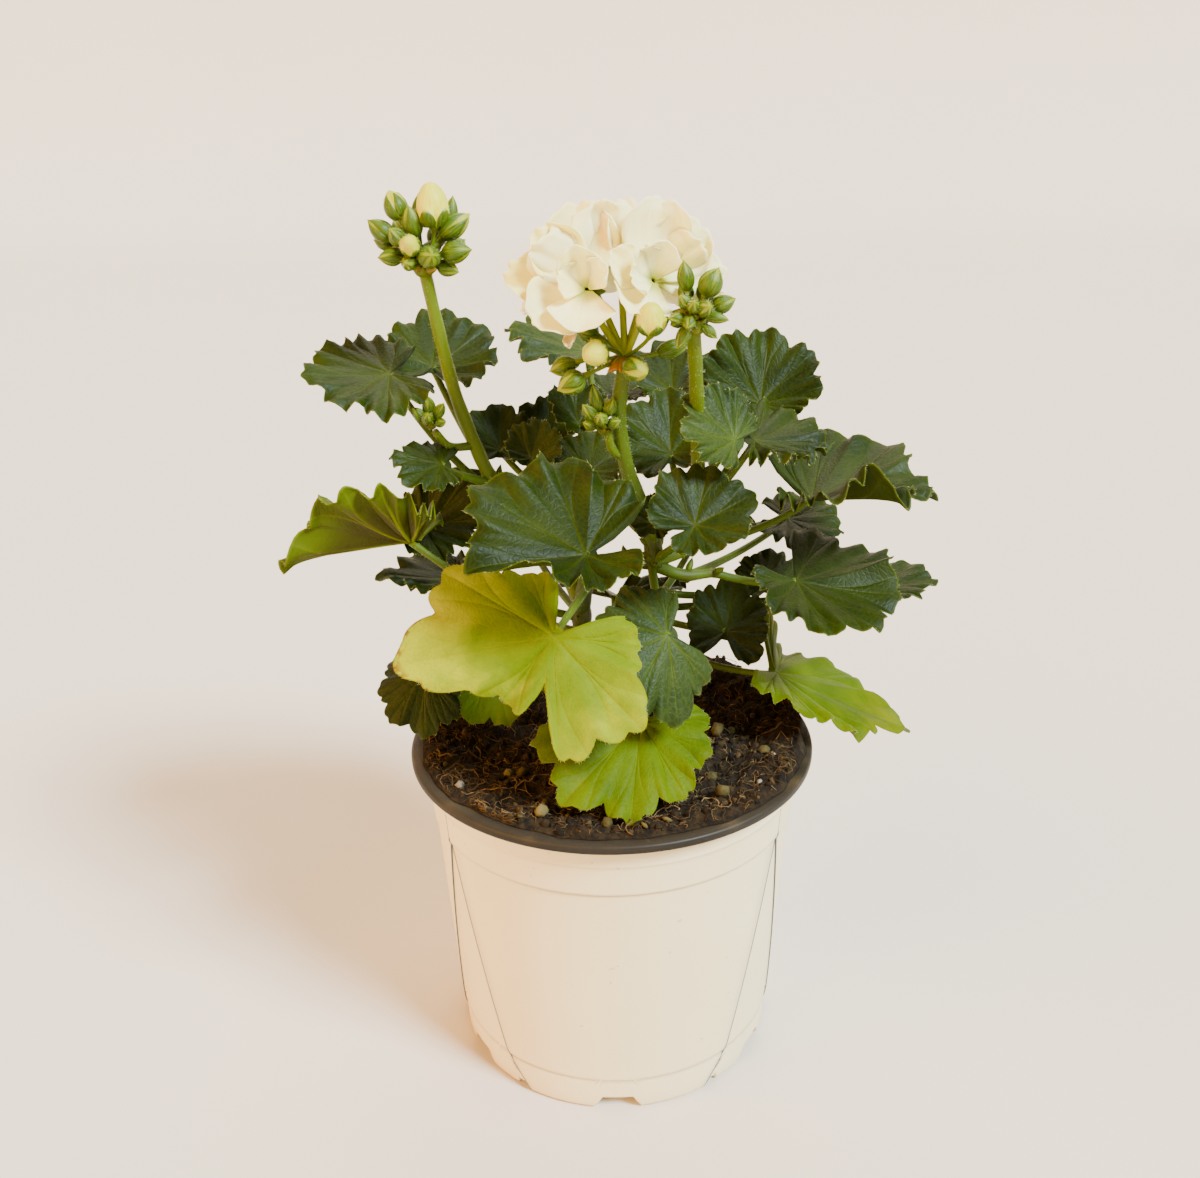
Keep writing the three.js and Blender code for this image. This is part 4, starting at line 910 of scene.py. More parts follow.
    def shell(self) -> Shell:
        """The white wall and foot: closed rings from under the foot up the outside and down the inside."""
        turn, z, depth = self.wall_grid()
        foot = turn[0]
        floor = self.notch_floor(foot)
        top = self.height - self.lip_height
        z = mixed(mixed(floor[None], top, z / top), z, smooth(z, 6, 14))
        outside = about_axis(self.radius(z) + self.relief(z) - self.gusset_depth * depth, turn, z)
        ring = self.base_radius - self.foot_ring_width
        under = [(self.foot_disc_radius, 0, 0), (self.foot_disc_radius + 1, self.foot_recess, 0),
                 (ring - 1, self.foot_recess, 1), (ring, 0, 1), (self.base_radius - 2.2, 0, 1)]
        heights = (top, 85.0, 60.0, 30.0, self.floor + 1, self.floor)
        inside = [(self.radius(level) - self.wall - (level == self.floor), level, 1) for level in heights]

        def ringed(rings: list[tuple[float, float, int]], spare: float) -> Array:
            """Rings of given radii and heights, kept above the notches where the third number says so."""
            radius, level, kept = (np.array(column, float)[:, None] for column in zip(*rings))
            return about_axis(radius, foot, np.maximum(level + 0 * floor, (floor + spare) * kept))

        grid = np.concatenate([ringed(under, 0), outside, ringed(inside, 0.6)])
        made = closed_rings(grid, [(0, 0, 0), (0, 0, self.floor)])
        height = made.points[:, 2]
        # Painted shade: darker bands at the shoulder step, just below the upper ring and in the foot-line groove,
        # where shade falls; the wall also darkens towards the foot.
        dust_and_shade = 0.6 * bell(height - self.foot_line_z, 0.5) + 0.2 * smooth(-height, -6, 0)
        dust_and_shade += 0.6 * bell(height - self.shoulder_z + 0.3, 0.4)
        dust_and_shade += 0.3 * bell(height - self.upper_ring_z + 0.5, 0.4)
        made.marks = np.repeat(dust_and_shade[:, None], 4, axis=1)
        return made

    def flange(self) -> Shell:
        """The dark flange: a rounded flat ring, its section turned about the pot's axis."""
        inner, wall, lip = self.wall_top_radius - self.wall, self.wall_top_radius - 0.2, self.lip_radius
        top, low = self.height, self.height - self.lip_height
        section = np.array([
            [inner, low - 6], [wall, low - 6], [wall, low + 0.02], [lip - 0.5, low], [lip - 0.1, low + 0.25],
            [lip, low + 0.7], [lip, top - 0.8], [lip - 0.25, top - 0.25], [lip - 0.8, top], [lip - 2.5, top - 0.1],
            [inner + 1.3, top - 0.1], [inner + 0.5, top - 0.3], [inner, top - 1],
        ])
        points = about_axis(section[:, :1], full_turn(self.columns), section[:, 1:]).reshape(-1, 3)
        faces = grid_faces(len(section) + 1, self.columns, True) % len(points)
        patches = 0.25 + 0.75 * smooth(ripples(points[:, 0], points[:, 1], 0, 22, 41), 0.0, 0.9)
        dust_and_shade = patches * smooth(points[:, 2], top - 1.5, top)
        return Shell(points, faces, NO_TRIS, np.repeat(dust_and_shade[:, None], 4, axis=1), finish=1).outward()

    def seams(self) -> list[Shell]:
        """Thin beads on the gussets' seams and on the one line that goes on above each to the flange, dark grey as
        painted shade.
        """
        point = self.gusset_heights[-1]
        top = self.height - self.lip_height - 0.5
        beads = []
        for k in range(self.gusset_count):
            middle = FRONT + (k + 0.5) * TURN / self.gusset_count
            for side in (-1, 0, 1):
                z = np.linspace(0.8, point, 60) if side else np.linspace(point, top, 16)
                r = self.radius(z) + self.relief(z) - (0.18 if side else 0.12)
                turn = middle + side * np.arcsin(np.interp(z, self.gusset_heights, self.gusset_halves) / r)
                # The beads' dark blue-grey finish is painted shade along the seams.
                beads.append(tube(about_axis(r, turn, z), np.full(len(z), 0.3 if side else 0.2), 6, finish=2))
        return beads

    def build(self) -> None:
        """Makes the pot."""
        finishes = [WHITE_PLASTIC.material(), DARK_PLASTIC.material(), SEAM_PAINTED_SHADE.material()]
        make_piece("pot_moulding", [self.shell(), self.flange(), *self.seams()], finishes, ("pot",))


# Soil

@dataclass
class Soil:
    """The peat: a dished bed that is heaped at the back right and spilt over the lip, with crumbs and roots on it."""
    level: float = 97.3
    rim_rise: float = 2.2
    rim_span: tuple[float, float] = (38.0, 52.0)
    heap: float = 3.4
    wall_radius: float = 53.9
    on_lip: float = 99.05
    pot_top: float = 99.0
    underside: float = 93.0
    spill: Point = (57.9, 0.7, 1.3)
    trunk: tuple[float, float] = (-8.0, 2.0)
    crumb_count: int = 1100
    fibre_count: int = 1700
    root_count: int = 90
    grain_count: int = 90
    tangle_count: int = 28
    grit_spots: tuple[Point, ...] = (
        (-19.5, -45.5, 1.9), (-18.5, -40.0, 1.5), (-25.0, -47.0, 1.2), (28.0, -25.0, 1.9), (29.0, -7.0, 1.8),
        (31.5, -3.5, 2.4), (36.0, -2.0, 1.6), (30.0, -36.0, 2.2), (-30.0, -20.0, 1.8), (-26.0, -20.0, 1.9),
        (44.0, -16.0, 2.0), (-2.0, -51.0, 1.6), (14.0, -50.0, 1.5), (8.0, -52.5, 1.2),
    )
    white_spots: tuple[Point, ...] = ((-42.9, -29.2, 1.4), (41.0, -30.0, 0.9), (46.0, -20.0, 0.8))
    tangles: tuple[tuple[float, float], ...] = ((-44.0, -27.0), (-37.0, -41.0), (-30.0, -47.0), (48.0, -24.0))

    def bed_height(self, x: Array, y: Array) -> Array:
        """Height of the bed: a level, a rise at the rim, a heap at the back right, waves and rough noise."""
        rim = self.rim_rise * smooth(np.hypot(x, y), *self.rim_span)
        heap = self.heap * smooth(0.75 * x + 0.66 * y, -10, 45)
        waves = 0.7 * np.sin(0.31 * x + 1.3) * np.sin(0.27 * y + 0.4)
        waves = waves + 0.4 * np.sin(0.83 * x + 0.41 * y) * np.cos(0.77 * y - 0.29 * x)
        rough = 1.3 * ripples(x, y, 0, 8, 3, 3) + 0.7 * ripples(x, y, 0, 2.6, 4, 2)
        return self.level + rim + heap + waves + rough

    def reach(self, angle: Array) -> Array:
        """How far the soil lies out over the lip at an angle: one wave round the pot and a ragged edge."""
        mean, right, back = self.spill
        ragged = 0.35 * np.sin(7 * angle + 1) + 0.25 * np.sin(17 * angle) + 0.2 * np.sin(31 * angle + 2)
        return np.minimum(mean + right * np.cos(angle) + back * np.sin(angle) + ragged, 59.5)

    def surface(self, x: Array, y: Array) -> Array:
        """Height of the soil: the bed, kept above the flange over the lip and rounded down to it at the edge."""
        r = np.hypot(x, y)
        edge = self.reach(np.arctan2(y, x))
        z = self.bed_height(x, y)
        z = mixed(z, np.maximum(z, self.on_lip + 0.35), smooth(r, self.wall_radius - 1.5, self.wall_radius))
        return mixed(z, self.on_lip, smooth(r, edge - 2.6, edge) ** 1.5)

    def bed(self) -> Shell:
        """The bed as rings round the axis out to its ragged edge, then in under it and down inside the wall."""
        share = np.linspace(0.015, 1, 96)[:, None]
        angle = full_turn(300)
        r = share * self.reach(angle)
        x, y = r * np.cos(angle), r * np.sin(angle)
        edges = ((self.wall_radius, self.pot_top), (self.wall_radius - 0.4, self.underside))
        under = [about_axis(radius, angle, z) for radius, z in edges]
        middle = float(self.surface(np.zeros(1), np.zeros(1))[0])
        rings = np.concatenate([stacked(x, y, self.surface(x, y)), under])
        return closed_rings(rings, [(0, 0, middle), (0, 0, self.underside)])

    def scatter(self, count: int, seed: int, share: float) -> tuple[Array, Array, np.random.Generator]:
        """Evenly scattered places on the soil, clear of the trunk, out to a share of its reach."""
        draw = np.random.default_rng(seed)
        angle = draw.uniform(0, TURN, count)
        r = share * self.reach(angle) * np.sqrt(draw.uniform(0, 1, count))
        x, y = r * np.cos(angle), r * np.sin(angle)
        keep = np.hypot(x - self.trunk[0], y - self.trunk[1]) > 4
        return x[keep], y[keep], draw

    def crumbs(self) -> Shell:
        """Peat crumbs half sunk in the soil."""
        x, y, draw = self.scatter(self.crumb_count, 21, 0.985)
        size = 0.28 + 1.1 * draw.uniform(0, 1, len(x)) ** 3
        return lumps(stacked(x, y, self.surface(x, y) + 0.15 * size), size, 22, 0.38)

    def spots(self, places: tuple[Point, ...], seed: int, finish: int) -> Shell:
        """Grains that lie at given places, each with its radius."""
        data = np.array(places)
        z = self.surface(data[:, 0], data[:, 1]) + 0.5 * data[:, 2]
        return lumps(np.column_stack([data[:, :2], z]), data[:, 2], seed, 0.2, finish)

    def strands(self, x: Array, y: Array, draw: np.random.Generator, lengths: tuple[float, float],
                rise: float, thickness: tuple[float, float], steps: int, sides: int) -> Shell:
        """Fine bent roots on the soil.

        Each runs through its place along a bearing that turns evenly, wavers and rises in an arch.

        Args:
            x, y: their places.
            draw: where their shapes come from.
            lengths: shortest and longest.
            rise: height of the highest arch.
            thickness: least and greatest radius.
            steps: points along each.
            sides: points in a ring.

        Returns:
            One shell.
        """
        count = len(x)
        one = (count, 1)
        t = np.linspace(-0.5, 0.5, steps)[None]
        length = draw.uniform(*lengths, one)
        bearing = draw.uniform(0, TURN, one) + draw.uniform(-2.2, 2.2, one) * t
        bearing = bearing + 0.5 * np.sin(9 * t + draw.uniform(0, 6, one))
        px, py = x[:, None] + length * t * np.cos(bearing), y[:, None] + length * t * np.sin(bearing)
        inward = np.minimum(self.reach(np.arctan2(py, px)) * 0.985 / np.maximum(np.hypot(px, py), 1), 1)
        px, py = px * inward, py * inward
        arch = draw.uniform(0, rise, one) * (1 - (2 * t) ** 2) + draw.uniform(-0.3, 0.5, one) * rise * t
        pz = self.surface(px, py) + 0.1 + arch
        radii = draw.uniform(*thickness, one) * (1 - 0.6 * np.abs(2 * t) ** 3)
        return threads(stacked(px, py, pz), radii, sides, draw.uniform(0, 1, (count, 4)))

    def roots(self) -> list[Shell]:
        """A felt of short fibres, tangles of them in a few places, and longer roots."""
        x, y, draw = self.scatter(self.fibre_count, 31, 0.97)
        felt = self.strands(x, y, draw, (2.0, 7.0), 1.1, (0.07, 0.17), 5, 3)
        knots = np.repeat(np.array(self.tangles), self.tangle_count, axis=0)
        knots = knots + draw.normal(size=knots.shape) * 2.2
        knot = self.strands(knots[:, 0], knots[:, 1], draw, (3.0, 9.0), 2.4, (0.07, 0.15), 8, 3)
        x, y, draw = self.scatter(self.root_count, 33, 0.95)
        return [felt, knot, self.strands(x, y, draw, (8.0, 22.0), 2.2, (0.1, 0.24), 14, 5)]

    def build(self) -> None:
        """Makes the bed with its crumbs, the roots and the grains."""
        make_piece("soil_bed", [self.bed(), self.crumbs()], [PEAT.material()], ("soil",))
        make_piece("soil_fibres", self.roots(), [FIBRE.material()])
        x, y, draw = self.scatter(self.grain_count, 5, 0.9)
        small = tuple(zip(x, y, draw.uniform(0.35, 1.0, len(x))))
        grains = [self.spots(self.grit_spots + small, 51, 0), self.spots(self.white_spots, 52, 1)]
        make_piece("soil_grains", grains, [GRIT.material(), PERLITE.material()])


# Stems

@dataclass
class Stem:
    """A stem: the places it runs through, its radius at its root and its end, how old and how sunny it looks."""
    name: str
    radii: tuple[float, float]
    through: list[Point]
    age: float = 0.0
    sun: float = 0.3

    def path(self, count: int) -> Array:
        """Its centre line at even steps."""
        return spline(self.through, count)

    def spot(self, share: float) -> Array:
        """The place at a share of its length."""
        return self.path(201)[int(round(share * 200))]

    def shell(self, joints: list[float]) -> Shell:
        """A ribbed tube that swells at its joints by a fifth of its radius."""
        length = run_along(self.path(60))[-1]
        count = max(12, int(length / 1.1))
        t = np.linspace(0, 1, count)
        swell = np.max([0 * t, *(bell((t - joint) * length, 2.2) for joint in joints)], axis=0)
        radii = mixed(*self.radii, t) * (1 + 0.22 * swell + 0.03 * np.sin(t * length * 0.5))
        sun = np.clip(self.sun + 0.5 * (t - 0.5) * (self.age == 0), 0, 1)
        return tube(self.path(count), radii, 20, ribs=0.025, marks=stacked(self.age, swell, sun, t))


STEMS = {stem.name: stem for stem in (
    Stem("trunk", (3.0, 2.5), [(-8, 2, 50), (-8, 2, 100), (-8.2, 1, 128), (-8.2, 0, 144)], 0.6, 0.1),
    Stem("crook", (2.5, 2.2), [(-8.2, 0, 140), (-5.4, -2, 151.7), (2, -4, 156), (13, -6, 157.5)], 0.3, 0.1),
    Stem("umbel_stalk", (2.2, 1.9), [
        (12.9, -6, 156), (12, -8, 164), (8.5, -12, 177), (5.3, -14, 186), (3, -18, 202), (4.7, -20, 217)], 0, 0.35),
    Stem("left_stalk", (2.2, 1.6), [
        (-8.2, 0, 142), (-14, 6, 153), (-25, 6, 169), (-33, 4, 180), (-38, 2, 194), (-41, 0, 205),
        (-44, -2, 222), (-46.2, -4, 237)], 0, 0.75),
    Stem("right_stalk", (2.0, 1.75), [
        (12, -6, 157), (23, -2, 160.3), (25.8, 0, 167), (24.4, -8, 187), (23, -19, 206), (21, -31, 227)], 0, 0.6),
    Stem("right_branch", (2.1, 1.0), [(11, -6, 157), (21, -4, 152), (32, -2, 152)]),
    Stem("back_branch", (2.3, 1.0), [(-8, 1, 138), (-8, 12, 150), (-4, 20, 166), (0, 22, 184)], 0.2),
    Stem("young_left_stalk", (1.2, 1.0), [(-36, 3, 189), (-43, -1, 190), (-46.5, -4, 195)], 0, 0.6),
    Stem("young_centre_stalk", (1.2, 1.0), [(4, -15, 190), (1.2, -18, 193), (-0.2, -20, 199)], 0, 0.6),
    Stem("low_branch", (2.2, 1.0), [(-8, 2, 112), (-2, 12, 122), (8, 20, 128), (18, 24, 136)], 0.4),
)}


# Leaves

Lobes = tuple[float, ...]
LOBES = 7
MIDDLE = (LOBES - 1) / 2
PLAIN_REACH = (60, 80, 95, 100, 95, 80, 60)
PLAIN_LIFT = (25, 20, 15, 5, 15, 20, 25)
NO_CUT = (0.0, 1.0, 0.0)
LOBE_NOTCH = 0.13
SINUS_RADIUS = 3.0
PETIOLE_ROOT = 1.25
PETIOLE_END = 0.95
FORK_START = 0.33
SCALLOPS = 3
SCALLOP_HEIGHT = 0.065
RUFFLE = 0.034
FINE_RUFFLE = 0.012
RIM_CURL = 0.02
FIELD_BULGE = 0.014
VEIN_SUNK = 0.12
VEIN_RAISED = 0.34


class Grain(Enum):
    """How finely a leaf is drawn: columns in a quarter of a lobe and rows from hub to margin."""
    LARGE = (7, 27)
    MEDIUM = (5, 18)
    SMALL = (4, 13)


def lobe_value(values: Lobes | float, lobe: Array) -> Array:
    """The value at a lobe number, eased between the lobes' own values; one number stands for all lobes."""
    table = np.array(values if isinstance(values, tuple) else (values,) * LOBES, float)
    place = np.clip(lobe, 0, LOBES - 1)
    low = np.minimum(np.floor(place).astype(int), LOBES - 2)
    return mixed(table[low], table[low + 1], smooth(place - low, 0, 1))


def fork_place(share: Array) -> Array:
    """How far a lobe's two fork veins lie from its main vein, in lobes, at a share of the way to the margin."""
    return 0.06 + 0.3 * smooth(share, 0.3, 1.15)


@dataclass
class Leaf:
    """A leaf: a pleated round blade with seven lobes and scalloped margin, on a petiole from its stem.

    Tuples of seven give a value for each lobe; reach and lift are in hundredths of the midrib. cut is a
    deep gap in the margin: its lobe number, its half width in lobes and its depth as a share. fold is a
    place where the margin turns up or down: its lobe number, its half width in lobes and its height as a
    share of the midrib.
    """
    name: str
    tone: Tone
    grain: Grain
    root: tuple[str, float]
    hub: Point
    tip: Point
    roll: float
    spread: float
    reach: Lobes = PLAIN_REACH
    lift: Lobes = PLAIN_LIFT
    bend: Point = (0, 0, 0)
    cut: Point = NO_CUT
    fold: Point = NO_CUT
    crinkle: Lobes | float = 1.5
    pleat: float = 0.036
    age: Lobes | float = 0.0
    seed: int = 0
    blade: float = 0.5

    def __post_init__(self) -> None:
        """Turns hundredths to shares and works out the leaf's own directions: midrib, upper face and side."""
        self.reach, self.lift = (tuple(v / 100 for v in values) for values in (self.reach, self.lift))
        self.origin = np.array(self.hub, float)
        midrib = np.array(self.tip, float) - self.origin
        self.length = float(np.linalg.norm(midrib))
        self.midrib = midrib / self.length
        upright = unit(UP - self.midrib * self.midrib[2])
        self.normal = swing(math.radians(self.roll), upright, np.cross(self.midrib, upright))
        self.side = np.cross(self.midrib, self.normal)

    def bearing(self, lobe: Array) -> Array:
        """Angle from the midrib at a lobe number."""
        return np.radians(self.spread) * (lobe - MIDDLE)

    def in_sinus(self, lobe: Array) -> Array:
        """One in the open gap behind the hub, zero in the blade."""
        return smooth(np.abs(lobe - MIDDLE), LOBES / 2, LOBES / 2 + 0.3)

    def outline(self, lobe: Array, share: Array) -> Array:
        """Length of the blade at a lobe number as a share of the midrib.

        It is the lobe's reach, drawn in between lobes and at the cut, with rounded scallops of uneven
        height that fade in close to the margin.
        """
        off = lobe - np.round(lobe)
        at, half, depth = self.cut
        whole = lobe_value(self.reach, lobe) * (1 - LOBE_NOTCH * (2 * off) ** 2)
        whole = whole * (1 - depth * bell(lobe - at, half))
        wobble = 0.15 * np.sin(2.3 * lobe + self.seed)
        scallop = np.abs(np.cos(math.pi * (SCALLOPS * lobe + wobble))) ** 0.7 - 0.7
        uneven = 1 + 0.35 * np.sin(7.1 * lobe + 2 * self.seed)
        return whole * (1 + SCALLOP_HEIGHT * scallop * uneven * share ** 8)

    def rise(self, lobe: Array, share: Array) -> Array:
        """Height off the blade's plane as a share of the midrib.

        It is the lobe's lift times share^1.5; a pleat that is a sharp valley on the main vein near the hub
        and turns to a shallow sine wave at the margin; one fold, a bell about its lobe number; a bulge
        between forks; and waves that grow toward the margin.
        """
        off = np.abs(lobe - np.round(lobe))
        phase = 1.7 * self.seed
        ridge = mixed(1 - (1 - 2 * off) ** 2, 0.35 * (1 - np.cos(TURN * off)), share)
        bulge = 1 - np.exp(-self.vein_gap(off, share) / 0.06)
        wave = np.sin(TURN * 2.1 * lobe + phase + 2 * np.sin(1.9 * lobe + phase))
        small = np.sin(TURN * SCALLOPS * lobe + 2.1 * phase)
        ruffle = RUFFLE * wave * share ** 4 + FINE_RUFFLE * small * share ** 6
        return (
            lobe_value(self.lift, lobe) * share ** 1.5
            + self.pleat * (1 + 0.5 * np.sin(2.6 * lobe + phase)) * ridge * share
            + self.fold[2] * bell(lobe - self.fold[0], self.fold[1]) * share ** 2
            + FIELD_BULGE * bulge * share
            + lobe_value(self.crinkle, lobe) * (ruffle - RIM_CURL * smooth(share, 0.9, 1.0))
        )

    def sheet(self, lobe: Array, share: Array) -> Array:
        """Points of the blade's middle sheet.

        Args:
            lobe: lobe numbers from -0.5 round to the gap behind the hub.
            share: share of the way from the hub to the margin.

        Returns:
            Points in mm.
        """
        angle = self.bearing(lobe)
        sinus = self.in_sinus(lobe)
        radius = mixed(self.outline(lobe, share) * self.length, SINUS_RADIUS, sinus) * share
        return (
            self.origin
            + (radius * np.cos(angle))[..., None] * self.midrib
            + (radius * np.sin(angle))[..., None] * self.side
            + (self.length * self.rise(lobe, share) * (1 - sinus))[..., None] * self.normal
        )

    @staticmethod
    def vein_gap(off: Array, share: Array) -> Array:
        """Distance in lobes to the nearest vein: the main one, or past its start the fork on the same side."""
        return np.minimum(off, np.where(share > FORK_START, np.abs(off - fork_place(share)), 1))

    def veins(self, lobe: Array, share: Array) -> Array:
        """Strength of the veins: bells of the distance to them, which thin and fade toward the margin."""
        off = np.abs(lobe - np.round(lobe))
        radius = lobe_value(self.reach, lobe) * self.length * share
        arc = np.radians(self.spread) * radius
        main = bell(off * arc, mixed(0.42, 0.2, share)) * mixed(1.0, 0.3, smooth(share, 0.15, 1.0))
        fork = bell((off - fork_place(share)) * arc, mixed(0.32, 0.16, share))
        fork = fork * 0.7 * smooth(share, FORK_START - 0.04, FORK_START + 0.04) * mixed(1.0, 0.3, share)
        hub = bell(radius, 1.7)
        return np.maximum(np.maximum(main, fork) * (1 - self.in_sinus(lobe)), hub)

    def lobe_numbers(self, share: Array) -> Array:
        """Columns as lobe numbers, for each row.

        In a lobe they crowd at its main vein, at the vein's two forks and at its edges, so that these
        lie on columns. A few more go round the gap behind the hub.
        """
        count = self.grain.value[0]
        t = np.arange(count)[None] / count
        t = t - 0.11 * np.sin(TURN * t)
        fork = fork_place(share)
        half = np.concatenate([fork * t, mixed(fork, 0.5, t)], axis=1)
        off = np.concatenate([-0.5 + 0 * share, -half[:, :0:-1], half], axis=1)
        lobes = (np.arange(LOBES)[None, :, None] + off[:, None]).reshape(len(share), -1)
        around = np.array([0, 0.02, 0.05, 0.09, 0.14, 0.2, 0.3, 0.5, 0.7, 0.8, 0.86, 0.91, 0.95, 0.98])
        gap = mixed(LOBES - 0.5, 360 / self.spread - 0.5, around)
        turned = np.where(gap > MIDDLE + 180 / self.spread, gap - 360 / self.spread, gap)
        return np.concatenate([lobes, np.broadcast_to(turned, (len(share), len(turned)))], axis=1)

    def blade_shell(self) -> Shell:
        """The blade: two like faces about its middle sheet, joined at the margin.

        Half its thickness is left above the sheet and half below, less toward the margin. Veins are sunk
        into the upper face and raised on the lower one.

        Returns:
            The shell.
        """
        share = np.append(0.985 * np.linspace(0, 1, self.grain.value[1] + 1)[1:] ** 0.9, 1.0)[:, None]
        lobe, share = np.broadcast_arrays(self.lobe_numbers(share), share)
        place = self.sheet(lobe, share)
        step = 0.01
        outward = place - self.sheet(lobe, share * (1 - step))
        sideways = self.sheet(lobe + step, share) - self.sheet(lobe - step, share)
        normal = unit(np.cross(sideways, outward))
        normal *= np.where((normal * self.normal).sum(-1, keepdims=True) < 0, -1, 1)
        own = smooth(share, 0.0, 0.12) * (1 - self.in_sinus(lobe))
        normal = unit(mixed(self.normal, normal, own[..., None]))
        vein = self.veins(lobe, share)
        half = 0.5 * self.blade * mixed(1.1, 0.6, share)
        above = place + normal * (half - VEIN_SUNK * vein * (1 - 0.5 * share))[..., None]
        below = place - normal * (half + VEIN_RAISED * vein * (1 - 0.6 * share))[..., None]
        rows, columns = lobe.shape
        count = rows * columns
        points = np.vstack([above.reshape(-1, 3), below.reshape(-1, 3),
                            [self.origin + self.normal * 0.3, self.origin - self.normal * 0.9]])
        ring = np.arange(columns)
        rim, after = count - columns + ring, count - columns + np.roll(ring, -1)
        edge = stacked(rim, after, count + after, count + rim)
        face = grid_faces(rows, columns, True)
        quads = np.vstack([face, face[:, ::-1] + count, edge])
        tris = np.vstack([fan_faces(2 * count, ring)[:, ::-1], fan_faces(2 * count + 1, count + ring)])
        age = lobe_value(self.age, lobe) * smooth(share, 0.15, 0.95)
        mark = stacked(vein, share, age, 0).reshape(-1, 4)
        reach = self.length * share * lobe_value(self.reach, lobe)
        flat = about_axis(reach, self.bearing(lobe), 0)[..., :2].reshape(-1, 2)
        marks = np.vstack([mark, mark + [0, 0, 0, 1], [[1, 0, 0, 0], [1, 0, 0, 1]]])
        flats = np.vstack([flat, flat, [[0, 0], [0, 0]]]) + 37.0 * self.seed
        return Shell(points, quads, tris, marks, flats).outward()

    def petiole_path(self, count: int) -> Array:
        """Centre line of the petiole, which leaves its stem and comes up to the hub from below."""
        stem, share = self.root
        start = STEMS[stem].spot(share)
        span = np.linalg.norm(self.origin - start)
        bend = mixed(start, self.origin, 0.6) - self.normal * 0.15 * span + np.array(self.bend, float)
        return bezier(start, bend, self.origin - self.normal * 0.25, count)

    def petiole(self) -> Shell:
        """The petiole: thickest at the stem, with a small swell where it meets the blade."""
        count = 24
        t = np.linspace(0, 1, count)
        radii = mixed(PETIOLE_ROOT, PETIOLE_END, t) * (1 + 0.3 * smooth(t, 0.93, 1.0) + 0.25 * smooth(-t, -0.07, 0.0))
        old = 0.3 * np.max(self.age)
        sun = 0.25 + 0.6 * smooth(t, 0.3, 1.0) * (self.tone in (Tone.YELLOW, Tone.LIME)) + 0.25 * t
        marks = stacked(old, smooth(-t, -0.04, 0), sun, t)
        return tube(self.petiole_path(count), radii, 12, finish=1, ribs=0.02, marks=marks)

    def margin_hairs(self) -> Shell:
        """Short pale hairs that stand out round the margin."""
        draw = np.random.default_rng(100 + self.seed)
        count = int(5 * self.length)
        lobe = draw.uniform(-0.5, LOBES - 0.5, count)
        one = np.ones(count)
        root = self.sheet(lobe, one)
        way = unit(root - self.sheet(lobe, one * 0.96) + draw.normal(size=(count, 3)) * 0.35)
        return spikes(root, way, draw.uniform(0.4, 0.9, count), HAIR_WIDTHS["leaf"])

    def build(self, finishes: dict[Tone, Material], stem: Material) -> None:
        """Makes the leaf, blade and petiole in one piece."""
        shells = [self.blade_shell(), self.petiole()]
        make_piece(f"blade_{self.name}", shells, [finishes[self.tone], stem], (f"leaf_{self.name}",))


